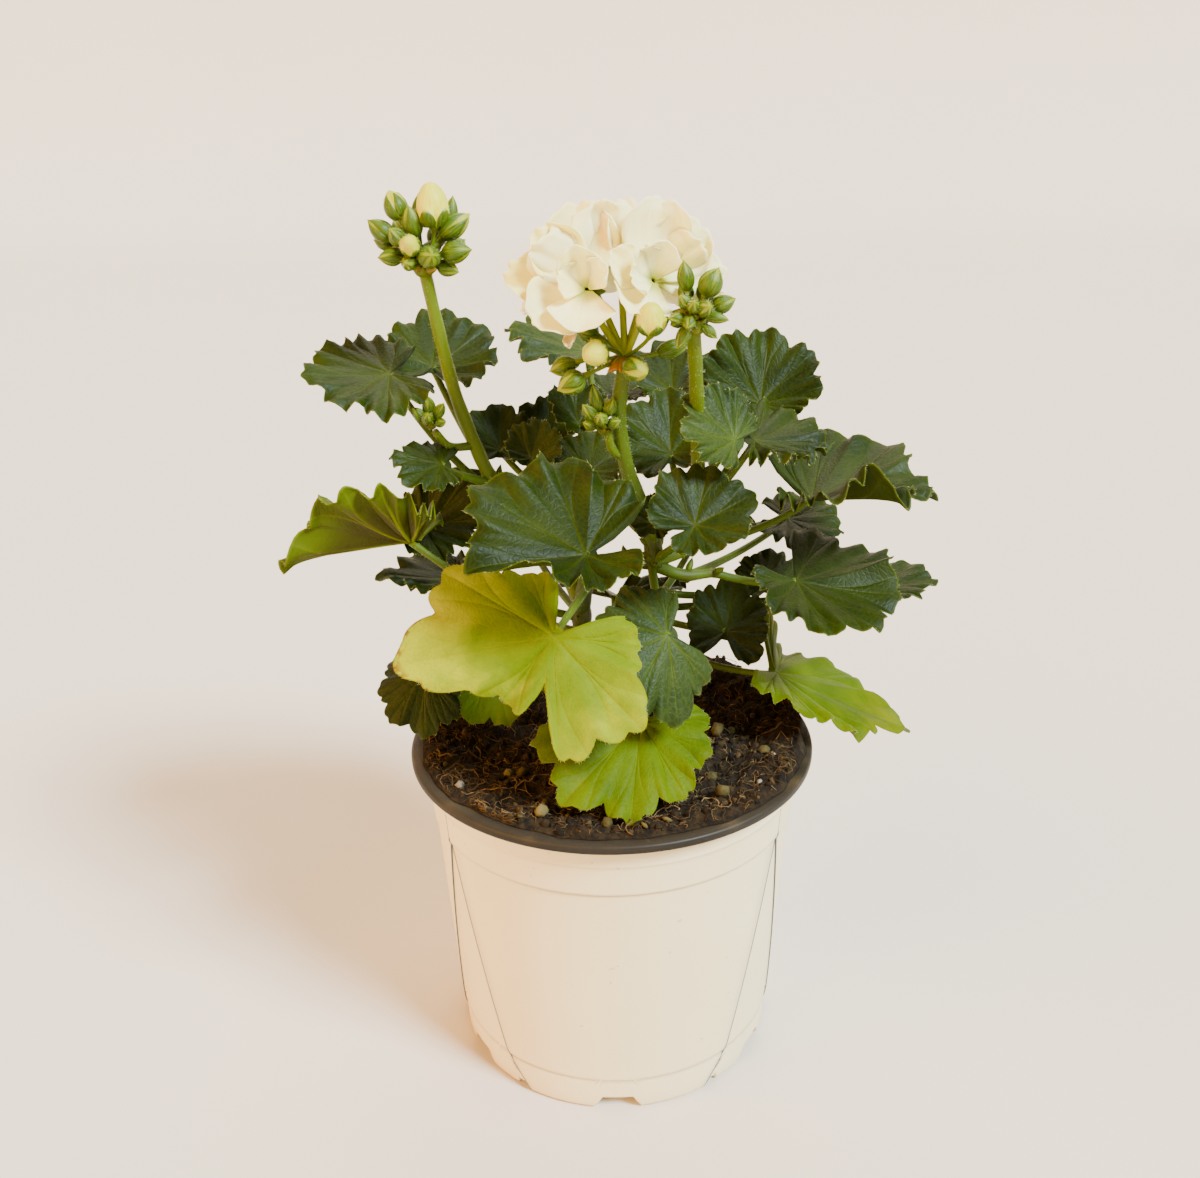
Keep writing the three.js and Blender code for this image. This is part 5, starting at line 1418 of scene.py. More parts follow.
G, GY, LM, YL, OL = Tone.GREEN, Tone.GREY, Tone.LIME, Tone.YELLOW, Tone.OLIVE
BIG, MID, SML = Grain.LARGE, Grain.MEDIUM, Grain.SMALL
LEAVES = [
    Leaf("yellow_front", YL, BIG, ("crook", 0.5), (-15, -38, 149), (-41, -55, 122), -49, 41,
         (55, 80, 82, 50, 100, 80, 45), (-5, 0, 0, -12, 0, 0, -20), cut=(2.3, 0.22, 0.55), crinkle=0.5, pleat=0.045,
         age=(0.3, 0.5, 0.35, 0.35, 0.75, 0.55, 0.35)),
    Leaf("lime_front", LM, BIG, ("trunk", 0.62), (8, -28, 118), (4, -55.5, 101.6), -7, 35,
         (60, 65, 75, 90, 100, 95, 60), (-10, 0, -10, -10, -5, 0, -20), crinkle=0.8, pleat=0.05,
         age=(0.1, 0.15, 0.1, 0.1, 0.25, 0.3, 0.1)),
    Leaf("centre_low", GY, BIG, ("crook", 0.96), (15, -30, 145), (-6, -40, 141), -51, 38,
         (70, 100, 100, 90, 80, 75, 60), (-20, -25, -10, -5, -15, -15, -15), crinkle=1.0),
    Leaf("centre_big", G, BIG, ("crook", 0.75), (-6, -42, 173), (-38, -52, 173), -31, 43,
         (45, 45, 50, 90, 100, 90, 70), (20, 15, 20, 5, 10, 15, 15), crinkle=(1, 1, 1, 1.4, 1.8, 2, 2),
         fold=(2.35, 0.3, 0.24)),
    Leaf("left_folded", OL, BIG, ("trunk", 0.93), (-55, -5, 164), (-91, -10, 163), 25, 36,
         (40, 60, 75, 100, 90, 80, 50), (20, 35, 35, -10, 30, 35, 20)),
    Leaf("left_inner", G, SML, ("left_stalk", 0.12), (-55, 20, 159), (-32, 21, 163), 40, 34,
         (50, 85, 100, 85, 70, 70, 50), (15, 25, 20, 5, 10, 25, 25)),
    Leaf("left_high", G, MID, ("left_stalk", 0.28), (-59, 5, 209), (-81, -2, 208), -21, 39,
         (70, 95, 95, 100, 95, 90, 65), (5, 5, 10, -5, 10, 0, 5), (-2, -3, 0), crinkle=1.8, fold=(3.0, 0.35, 0.25)),
    Leaf("left_back", G, MID, ("left_stalk", 0.42), (-50, 27, 206), (-50, 49, 217), 9, 43,
         (60, 55, 75, 100, 90, 75, 70), (15, 25, 10, 10, 15, 20, 25), (0, 6, 0)),
    Leaf("left_young", G, SML, ("left_stalk", 0.42), (-45, -8, 187), (-58, -12, 190), -26, 38,
         (60, 80, 100, 100, 80, 70, 65), (5, 0, -5, 5, 0, -5, 5), crinkle=1.6),
    Leaf("right_fan", G, MID, ("right_stalk", 0.22), (44, 17, 196), (48, 31, 214), 15, 36,
         (55, 85, 95, 100, 95, 75, 50), (5, 35, 20, 5, 10, 25, 35)),
    Leaf("right_grey", GY, MID, ("right_stalk", 0.35), (33, -18, 195), (20, -18, 207), -42, 33,
         (55, 80, 95, 100, 90, 85, 60), (10, 5, 0, 0, 5, 0, 0)),
    Leaf("right_crinkled", G, MID, ("right_stalk", 0.28), (39, -12, 193), (62, -8, 190), 15, 34,
         (55, 95, 100, 90, 70, 60, 45), (10, 5, 5, 0, 5, 15, 0), crinkle=2.0),
    Leaf("right_large", G, BIG, ("right_stalk", 0.14), (57, 0, 173), (93, -1, 175), -5, 38,
         (50, 95, 100, 95, 80, 65, 50), (25, 35, 25, 0, 10, 15, 10), crinkle=(0.5, 0.8, 1, 1.4, 2.0, 2.0, 1.8),
         fold=(4.55, 0.3, 0.2)),
    Leaf("centre_small", G, MID, ("crook", 0.98), (22, -30, 176), (38, -23, 181), 37, 47,
         (70, 85, 95, 100, 75, 60, 60), (20, 25, 15, 10, 20, 20, 15), crinkle=1.3),
    Leaf("right_low", G, BIG, ("right_branch", 0.9), (53, -5, 150), (75, -24, 139), 2, 37,
         (80, 100, 95, 90, 80, 65, 50), (10, 5, 5, 10, 5, 5, 10), crinkle=0.9, pleat=0.022, fold=(1.4, 0.5, 0.22)),
    Leaf("right_far", G, MID, ("low_branch", 0.8), (79, 20, 137), (99, 17, 141), 0, 36, (60, 95, 100, 100, 90, 90, 70),
         (5, 5, 5, -5, 0, 10, 5), (6, 16, 2), crinkle=1.1),
    Leaf("right_dark", G, MID, ("low_branch", 0.75), (35, 10, 128), (39, 24, 140), 10, 43,
         (65, 65, 80, 100, 80, 65, 75), (10, 20, 10, 0, 0, 20, 15)),
    Leaf("lime_right", LM, BIG, ("low_branch", 0.6), (50, 5, 116), (89, 5, 93), 2, 37, (45, 60, 85, 100, 70, 55, 45),
         (25, -5, 5, 10, 5, 5, 0), crinkle=0.7, age=(0.5, 0.3, 0.2, 0.55, 0.4, 0.3, 0.3)),
    Leaf("mid_dark", G, SML, ("right_stalk", 0.15), (18, 8, 184), (18, 22, 199), 0, 43, (60, 70, 85, 100, 85, 60, 50),
         (25, 30, 25, 10, 20, 30, 35)),
    Leaf("top_back", GY, SML, ("back_branch", 0.97), (-5, 34, 208), (-29, 37, 214), -14, 36,
         (45, 70, 85, 100, 95, 85, 55), (5, 15, 0, 5, 5, 10, -5)),
    Leaf("mid_upright", G, SML, ("back_branch", 0.8), (-8, 20, 190), (-11, 30, 201), 4, 43,
         (40, 55, 80, 100, 80, 50, 40), (25, 30, 30, 15, 25, 30, 30)),
    Leaf("back_left_a", G, SML, ("back_branch", 0.5), (-32, 30, 180), (-32, 42, 190), 8, 43,
         (60, 65, 85, 100, 80, 65, 60), (30, 35, 30, 15, 30, 35, 35)),
    Leaf("back_left_b", G, SML, ("back_branch", 0.4), (-18, 37, 181), (-17, 48, 191), 4, 43,
         (55, 60, 85, 100, 85, 60, 50), (25, 35, 25, 15, 25, 35, 35)),
    Leaf("back_left_c", G, SML, ("left_stalk", 0.2), (-21, 0, 186), (-18, 9, 193), 8, 43,
         (50, 60, 85, 100, 85, 75, 70), (30, 35, 30, 20, 30, 35, 35), crinkle=1.5),
    Leaf("centre_back", G, SML, ("umbel_stalk", 0.12), (-5, 0, 182), (-3, 13, 189), 10, 43,
         (60, 70, 85, 100, 90, 70, 60), (20, 25, 15, 10, 15, 20, 20)),
    Leaf("low_left", G, MID, ("trunk", 0.86), (-53, -12, 127), (-64, -20, 115), -28, 35, (60, 85, 100, 95, 85, 80, 70),
         (-20, -30, -30, -10, -15, -35, -50), crinkle=0.6),
    Leaf("low_left_olive", LM, SML, ("trunk", 0.66), (-35, 0, 122), (-41, -13, 111), -14, 36,
         (50, 80, 100, 100, 85, 60, 50), (0, -10, -15, -5, 0, -15, -20), crinkle=0.6),
    Leaf("left_under", G, SML, ("trunk", 0.88), (-43, 20, 142), (-70, 18, 145), -2, 36, (40, 50, 70, 100, 90, 70, 40),
         (0, 5, 5, 0, 5, 5, 5)),
    Leaf("right_behind", G, SML, ("right_branch", 0.55), (55, 28, 157), (74, 27, 153), 14, 40,
         (60, 95, 100, 90, 80, 80, 70), (0, -5, 5, 0, 0, 0, 5), (0, 8, -2)),
    Leaf("top_mid_back", G, SML, ("back_branch", 0.97), (20, 28, 197), (19, 45, 208), 1, 43,
         (45, 65, 85, 100, 85, 65, 45), (15, 20, 15, 10, 10, 20, 20)),
    Leaf("right_mid_back", GY, SML, ("low_branch", 0.97), (50, 30, 134), (53, 46, 140), 10, 43,
         (60, 65, 75, 100, 85, 60, 50), (10, 20, 10, 5, 15, 15, 20)),
    Leaf("shoot", G, SML, ("umbel_stalk", 0.08), (12, -15, 171.5), (12.5, -13.5, 179.5), 0, 43),
    Leaf("rear_left", G, SML, ("trunk", 0.94), (-28, 44, 152), (-42, 66, 146), 0, 44),
    Leaf("rear_centre", G, SML, ("back_branch", 0.6), (6, 50, 168), (12, 77, 164), 0, 44),
    Leaf("rear_right", G, SML, ("low_branch", 0.9), (30, 46, 148), (46, 68, 140), 0, 44),
    Leaf("rear_low_left", LM, SML, ("trunk", 0.6), (-42, 36, 116), (-62, 50, 104), 0, 42, crinkle=0.7),
    Leaf("rear_low", G, SML, ("low_branch", 0.5), (2, 48, 124), (6, 74, 112), 0, 42),
    Leaf("rear_high", G, SML, ("back_branch", 0.85), (4, 50, 190), (6, 66, 194), 0, 44),
]
for number, leaf in enumerate(LEAVES):
    leaf.seed = number


Hairs = tuple[Array, Array, Array]


def hair_coat(coats: list[Hairs], width: float) -> Shell:
    """One shell of the hairs whose roots, ways and lengths are given set by set."""
    return spikes(*(np.concatenate(column) for column in zip(*coats)), width)


@dataclass
class Stems:
    """All the stems with their joints, stipules and hairs."""
    stem_hairs: int = 30
    petiole_hairs: int = 5
    hair_span: float = 3.5

    def stipules(self) -> list[Shell]:
        """A pair of small pointed scales at each leaf's root: flat spindles that clasp the stem and lean out."""
        made = []
        t = np.linspace(0, 1, 8)
        radii = 0.95 * np.sin(math.pi * (0.2 + 0.8 * t) ** 0.9) + 0.06
        marks = stacked(t * 0.7, t * 0.4, 0.4, t)
        for leaf in LEAVES:
            path = leaf.petiole_path(30)
            out = unit(path[4] - path[0])
            stem, share = STEMS[leaf.root[0]], leaf.root[1]
            stem_way = unit(stem.spot(min(share + 0.03, 1)) - stem.spot(max(share - 0.03, 0)))
            side = unit(np.cross(out, stem_way))
            for hand in (-1, 1):
                root = path[0] + side * hand * 1.4
                tip = root + (out * 2.2 + side * hand * 2.0 + UP * 1.6)
                line = bezier(root, mixed(root, tip, 0.5) + out * 0.7, tip, 8)
                made.append(tube(line, radii, 8, marks=marks))
        return made

    def build(self, finish: Material) -> None:
        """Makes all the stems in one piece."""
        joints = {name: [leaf.root[1] for leaf in LEAVES if leaf.root[0] == name] for name in STEMS}
        shells = [stem.shell(joints[name]) for name, stem in STEMS.items()]
        make_piece("stems", shells + self.stipules(), [finish], ("stem",))

    def hairs(self) -> Shell:
        """Hairs that stand off every stem and petiole."""
        coats = []
        draw = np.random.default_rng(77)
        runs = [(stem.path(200)[100 * (name == "trunk"):], stem.radii[1], self.stem_hairs)
                for name, stem in STEMS.items()]
        runs += [(leaf.petiole_path(100), PETIOLE_END, self.petiole_hairs) for leaf in LEAVES]
        for path, radius, number in runs:
            count = int(run_along(path)[-1] * number / self.hair_span)
            at = draw.integers(0, len(path), count)
            _, across, other = axes_along(path)
            way = swing(draw.uniform(0, TURN, count)[:, None], across[at], other[at])
            lean = unit(way + draw.normal(size=(count, 3)) * 0.3)
            coats.append((path[at] + way * radius * 0.95, lean, draw.uniform(0.4, 1.2, count)))
        return hair_coat(coats, HAIR_WIDTHS["stem"])


# Buds

SEPAL_RISE = 0.08
KEEL_RISE = 0.05
SEPAL_FLARE = 0.16
PETAL_OVERLAP = 0.035


@dataclass
class Bud:
    """A bud on its pedicel: root, base, tip, half width, how far the sepals cover it, creaminess and dryness."""
    root: Array
    base: Array
    tip: Array
    width: float
    cover: float = 1.12
    cream: float = 0.0
    dry: float = 0.0
    seed: int = 0

    def profile(self, way: Array) -> Array:
        """Radius of the body on its way from base to tip: a bent sine, blunter where the bud is creamy."""
        return self.width * np.sin(math.pi * (0.1 + 0.87 * way ** 0.9)) ** (0.7 - 0.22 * self.cream)

    def frame(self) -> tuple[Array, Array, Array]:
        """The bud's own direction and two directions across it."""
        ahead = unit(self.tip - self.base)
        across = unit(np.cross(ahead, np.eye(3)[np.argmin(np.abs(ahead))]))
        return ahead, across, np.cross(ahead, across)

    def pedicel(self) -> Shell:
        """The thin stalk, which comes to the base along the bud's own run."""
        run = self.tip - self.base
        t = np.linspace(0, 1, 10)
        radii = mixed(0.62, 0.5, smooth(t, 0, 0.3)) + (0.4 * self.width - 0.4) * smooth(t, 0.8, 1.0)
        line = bezier(self.root, self.base - 0.35 * run, self.base + 0.04 * run, 10)
        return tube(line, radii, 8, marks=stacked(0.35 + 0 * t, 0.6, 0, self.dry))

    def body(self) -> Shell:
        """The egg with its five sepals.

        A sepal's half angle shrinks from a tenth of the turn as 1 - (way / cover)^2.4. Its columns lie on
        its two edges, its middle and between, so that its edge is a sharp step on the petals. It has a
        low keel, and the tips of short sepals stand off.

        Returns:
            The shell.
        """
        rows = 18 if self.width > 1.8 else 12
        way = (0.5 - 0.5 * np.cos(np.linspace(0, math.pi, rows)))[:, None]
        fifth = TURN / 5
        half = 0.5 * fifth * np.clip(1 - (way / self.cover) ** 2.4, 0.06, 0.94)
        slope = np.minimum(0.05, 0.3 * (fifth - 2 * half))
        places = [-half, -0.5 * half, 0 * half, 0.5 * half, half, half + slope, 0 * half + 0.5 * fifth,
                  fifth - half - slope]
        turn = np.concatenate([place + k * fifth for k in range(5) for place in places], axis=1) + self.seed
        stands = smooth(half, 0.04, 0.12)
        sepal = stands * np.tile([1.0, 1, 1, 1, 1, 0, 0, 0], 5)
        keel = stands * np.tile([0.0, 0.5, 1, 0.5, 0, 0, 0, 0], 5)
        flare = SEPAL_FLARE * smooth(way, self.cover - 0.3, self.cover) * (self.cover < 1)
        overlap = PETAL_OVERLAP * np.cos(5 * turn + 4 * way) * (0.3 + self.cream) * (1 - sepal)
        radius = self.profile(way) * (1 + SEPAL_RISE * sepal + KEEL_RISE * keel + flare * keel + overlap)
        run = self.tip - self.base
        _, across, other = self.frame()
        ring = swing(turn[..., None], across, other)
        rings = self.base + way[..., None] * run + radius[..., None] * ring
        flat = stacked(8 * way, 1.5 * turn * self.width) + 11.0 * self.seed
        poles = [self.base, self.tip + (0.1 - 0.07 * self.cream) * run]
        return closed_rings(rings, poles, stacked(sepal, way, self.cream, self.dry), flat)

    def hairs(self, draw: np.random.Generator) -> Hairs:
        """Roots, ways and lengths of the short hairs on the bud's sepals."""
        count = int(38 * self.width)
        way = draw.uniform(0, min(self.cover, 0.95), (count, 1))
        ahead, across, other = self.frame()
        out = swing(draw.uniform(0, TURN, (count, 1)), across, other)
        root = self.base + way * (self.tip - self.base) + self.profile(way) * out
        return root, unit(out + 0.5 * ahead + 0.2 * draw.normal(size=(count, 3))), draw.uniform(0.4, 1.1, count)


def bracts(at: Array, length: float, count: int, dry: float, seed: int, droop: float = 0.0) -> list[Shell]:
    """Small pointed bracts in a ring about the top of a flower stalk: spindles that lean out, up or down."""
    made = []
    draw = np.random.default_rng(seed)
    t = np.linspace(0, 1, 9)
    radii = 0.24 * length * np.sin(math.pi * (0.15 + 0.85 * t) ** 0.8) ** 0.9 + 0.05
    marks = stacked(1, t, 0, dry * t ** 0.5)
    for k in range(count):
        angle = TURN * k / count + draw.uniform(0, 0.5)
        tip = at + length * np.array([math.cos(angle), math.sin(angle), draw.uniform(-0.1, 0.6) - droop])
        made.append(tube(bezier(at, mixed(at, tip, 0.5) - UP * 0.12 * length, tip, 9), radii, 8, marks=marks))
    return made


Placed = tuple[Point, Point, float]
Opened = dict[int, tuple[float, float]]


def make_buds(root: Point, placed: list[Placed], opened: Opened, seed: int) -> list[Bud]:
    """Buds from their places.

    Args:
        root: the end of their stalk.
        placed: base, tip and half width of each.
        opened: cover and creaminess of those that begin to open, by number.
        seed: picks the cover of the others.

    Returns:
        The buds.
    """
    draw = np.random.default_rng(seed)
    made = []
    for k, (base, tip, width) in enumerate(placed):
        cover, cream = opened.get(k, (draw.choice([1.25, 1.2, 1.1, 1.05]), draw.uniform(0, 0.08)))
        points = (np.array(point, float) for point in (root, base, tip))
        made.append(Bud(*points, width * (1.12 if cover >= 1 else 1), cover, cream, 0.0, k))
    return made


@dataclass
class BudHead:
    """A closed head: buds all round the end of a stalk, with bracts below where it is grown."""
    name: str
    at: Point
    heart: float
    bract: float
    placed: list[Placed]
    opened: Opened = field(default_factory=dict)
    seed: int = 5

    def build(self, finish: Material) -> list[Bud]:
        """Makes the head and hands its buds on for their hairs."""
        made = make_buds(self.at, self.placed, self.opened, self.seed)
        root = np.array(self.at, float)
        shells = [shell for bud in made for shell in (bud.pedicel(), bud.body())]
        shells.append(ball(root, self.heart, [1.0, 0.4, 0.0, 0.1]))
        for k, (rise, share) in enumerate(((0.0, 1.2), (0.35, 1.3), (0.7, 1.5), (1.2, 1.8))):
            at = root + UP * rise * self.heart
            shells += bracts(at, share * self.heart + 0.6, 7, 0.15, self.seed + k)
        if self.bract:
            shells += bracts(root, self.bract, 6, 0.5, self.seed + 4)
        make_piece(f"buds_{self.name}", shells, [finish], (f"bud_head_{self.name}",))
        return made


HEADS = [
    BudHead("left", (-46.5, -4, 238.6), 3.0, 5.5, [
        ((-43, -5, 248.5), (-43.5, -5, 259), 4.1), ((-51.5, -4, 250.5), (-54, -3, 257), 2.8),
        ((-41.5, -4, 246), (-34.5, -3, 251), 2.4), ((-41, -7, 242), (-34, -8, 243), 2.3),
        ((-45, -8, 241), (-43, -13.5, 242.5), 2.3), ((-48.5, -8, 243.5), (-49, -13.5, 246), 2.5),
        ((-54, -4, 245.5), (-59.5, -4, 250), 2.2), ((-51, -6, 244.5), (-53.5, -9, 248.5), 1.8),
        ((-51.5, -6, 241.5), (-57, -8, 241.5), 1.9), ((-54.5, -2, 243.5), (-59, -1, 245), 1.4),
        ((-49, -7, 240), (-50, -11.5, 240.5), 1.7), ((-42.5, -5, 239), (-37.5, -7, 237.5), 1.8),
        ((-48, -5, 246), (-49, -6.5, 253.5), 2.2), ((-39.5, -1, 248), (-38.5, 0.5, 255), 1.5),
        ((-47.5, 0, 248), (-47.5, 2.5, 255.5), 1.6), ((-51, 1, 244), (-54.5, 4.5, 249), 2.0),
        ((-44, 2, 243), (-43, 7.5, 248), 2.2), ((-41, 0, 241), (-36.5, 3.5, 244), 2.0),
        ((-48, 2, 241), (-50.5, 6.5, 242), 1.8),
    ], {0: (0.45, 1.0), 1: (0.95, 0.5), 2: (1.0, 0.3), 5: (0.75, 0.7)}),
    BudHead("right", (21.2, -31, 227.4), 2.8, 3.5, [
        ((19.5, -30, 235.5), (18.5, -30, 242), 1.7), ((23.5, -32, 234.5), (26.5, -32, 240.5), 2.4),
        ((25.5, -32, 231.5), (30.5, -32, 233.5), 1.8), ((22.5, -34, 231.5), (24, -38.5, 233), 1.6),
        ((20.5, -34, 231.5), (20.5, -38, 234), 1.3), ((19.5, -33, 232), (17.5, -35, 235), 1.4),
        ((18.5, -34, 229.5), (14.8, -36, 230), 1.2), ((20, -34, 229.5), (19, -37.5, 228), 1.4),
        ((19.5, -33, 227.5), (17, -33, 222.5), 1.4), ((23.5, -33, 230), (28.8, -34, 229), 1.2),
        ((23, -33, 227.5), (26.2, -34, 224.8), 1.1), ((18.5, -30.5, 228.5), (15.5, -31, 227.5), 1.2),
        ((23, -28, 233), (25, -25.5, 237), 1.7), ((20, -28, 233), (18.5, -25, 236.5), 1.6),
        ((24.5, -29, 230), (28, -26, 231), 1.4),
    ], {}, 9),
    BudHead("young_left", (-47.3, -4, 197), 1.5, 0.0, [
        ((-47.5, -4, 199.5), (-47.8, -5, 204.8), 1.5), ((-46, -5, 199), (-43.5, -6, 203), 1.3),
        ((-49, -5, 198.5), (-51.5, -6, 202), 1.3), ((-48, -6, 198.5), (-47.5, -9, 201), 1.3),
        ((-46, -5, 197.5), (-43.2, -7, 198.5), 1.1), ((-48, -2, 199), (-49, 0.5, 202), 1.2),
    ], seed=3),
    BudHead("young_centre", (-1, -20, 199), 1.5, 0.0, [
        ((-2, -20.5, 203.5), (-3.5, -21, 210.5), 1.5), ((0, -21, 203), (1.5, -22, 207.5), 1.4),
        ((-3, -21, 202), (-6, -22.5, 206), 1.5), ((-1.5, -22, 201.5), (-1.8, -25, 204), 1.5),
        ((0.5, -21, 200.5), (3, -23, 202), 1.3), ((-3, -21, 200), (-6, -22.5, 201.5), 1.3),
        ((-1, -18, 202), (0, -15.5, 206), 1.3),
    ], seed=8),
]


# Umbel

PETAL_ROOT = 0.5
PETAL_THICKNESS = 0.34


def out_of(axis: Array, turn: float) -> Array:
    """The direction square to a floret's axis, at a turn from straight up."""
    up = unit(UP - axis * axis[2])
    return swing(turn, up, np.cross(up, axis))


@dataclass
class Petal:
    """A petal: its turn about the floret's axis, its lean off the axis, its length and its width."""
    turn: float
    lean: float
    length: float
    width: float
    # Warmth lays cream on the petal: its own tint, and on the left floret painted warm light.
    cream_and_warm_light: float = 0.2
    streak: float = 0.0
    dry: float = 0.0

    def sheet(self, along: Array, across: Array, seed: int) -> Array:
        """Points of the petal's middle sheet in its own directions.

        Half the width is a bent sine of the way along, and the rim falls back toward its corners with
        across squared, so the outline is a round spoon. The sheet is cupped across and arched along, and
        its rim is ruffled by two sine waves and drawn in to a soft notch.

        Args:
            along: share of the way from throat to rim.
            across: from -1 at one edge to 1 at the other.
            seed: phase of the ruffles.

        Returns:
            Points in mm: across, along and up.
        """
        notch = 0.05 * bell(across - 0.15 * math.sin(seed), 0.16) * smooth(along, 0.7, 1)
        corner = 0.26 * across ** 2
        rounded = along * (1 - corner - notch + 0.012 * np.sin(13 * across + seed) * along ** 4)
        half = 0.5 * self.width * (0.12 + 0.88 * np.sin(math.pi * 0.7 * along ** 1.1))
        cup = 0.16 * self.width * across ** 2 * along
        arch = 0.16 * self.length * np.sin(math.pi * along)
        ruffle = self.length * along ** 2 * (
            0.035 * np.sin(5 * across + self.width) + 0.02 * np.sin(11 * across + 1.3 * seed) * along
        )
        pleat = 0.006 * self.width * np.cos(7 * math.pi * across) * np.sin(math.pi * along)
        curl = -0.05 * self.length * smooth(along, 0.82, 1.0) * (1 + 0.5 * np.sin(3 * across + seed))
        return stacked(half * across, self.length * rounded, cup - arch + ruffle + pleat + curl)

    def shell(self, centre: Array, axis: Array, seed: int) -> Shell:
        """The petal as two like faces joined round its edge, turned and leant about the floret's axis."""
        rows, columns = 22, 21
        along = np.linspace(PETAL_ROOT / self.length, 1, rows)[:, None]
        across = np.linspace(-1, 1, columns)[None]
        local = self.sheet(along, across, seed)
        face = unit(np.cross(np.gradient(local, axis=1), np.gradient(local, axis=0)))
        thick = 0.5 * PETAL_THICKNESS * mixed(1.5, 0.8, along)[..., None]
        lean = math.radians(self.lean)
        radial = out_of(axis, math.radians(self.turn))
        forward, facing = swing(lean, axis, radial), swing(lean, -radial, axis)
        basis = np.stack([np.cross(forward, facing), forward, facing])
        above, below = ((local + way * face * thick).reshape(-1, 3) @ basis + centre for way in (1, -1))
        count = rows * columns
        sheet = grid_faces(rows, columns, False)
        edge = np.concatenate([
            np.arange(columns), columns * np.arange(1, rows) + columns - 1,
            count - 1 - np.arange(1, columns), columns * np.arange(rows - 2, 0, -1),
        ])
        nxt = np.roll(edge, -1)
        quads = np.vstack([sheet, sheet[:, ::-1] + count, stacked(edge, edge + count, nxt + count, nxt)])
        streak = self.streak * bell(across - 0.55, 0.22) * smooth(along, 0.35, 0.8)
        flags = stacked(along, streak, self.cream_and_warm_light, self.dry).reshape(-1, 4)
        flat = stacked(0.5 * self.width * across, self.length * along).reshape(-1, 2)
        flat = np.vstack([flat, flat]) + 17.0 * seed
        return Shell(np.vstack([above, below]), quads, NO_TRIS, np.vstack([flags, flags]), flat).outward()


@dataclass
class Floret:
    """A double floret: a centre, the way it faces and its petals, given or drawn from a seed."""
    centre: Point
    axis: Point
    petals: list[Petal] = field(default_factory=list)
    seed: int = 0

    def all_petals(self) -> list[Petal]:
        """Its own petals, or an outer ring and an inner ring drawn from its seed."""
        if self.petals:
            return self.petals
        draw = np.random.default_rng(self.seed)
        outer = [Petal(72 * i + draw.uniform(0, 20), draw.uniform(72, 86), draw.uniform(16, 19), 14)
                 for i in range(5)]
        inner = [Petal(90 * i + draw.uniform(40, 60), draw.uniform(38, 52), draw.uniform(10, 12), 9, 0.4)
                 for i in range(4)]
        return outer + inner

    def shells(self, number: int) -> list[Shell]:
        """Its petals."""
        axis = unit(np.array(self.axis, float))
        centre = np.array(self.centre, float)
        return [petal.shell(centre, axis, 7 * number + k) for k, petal in enumerate(self.all_petals())]


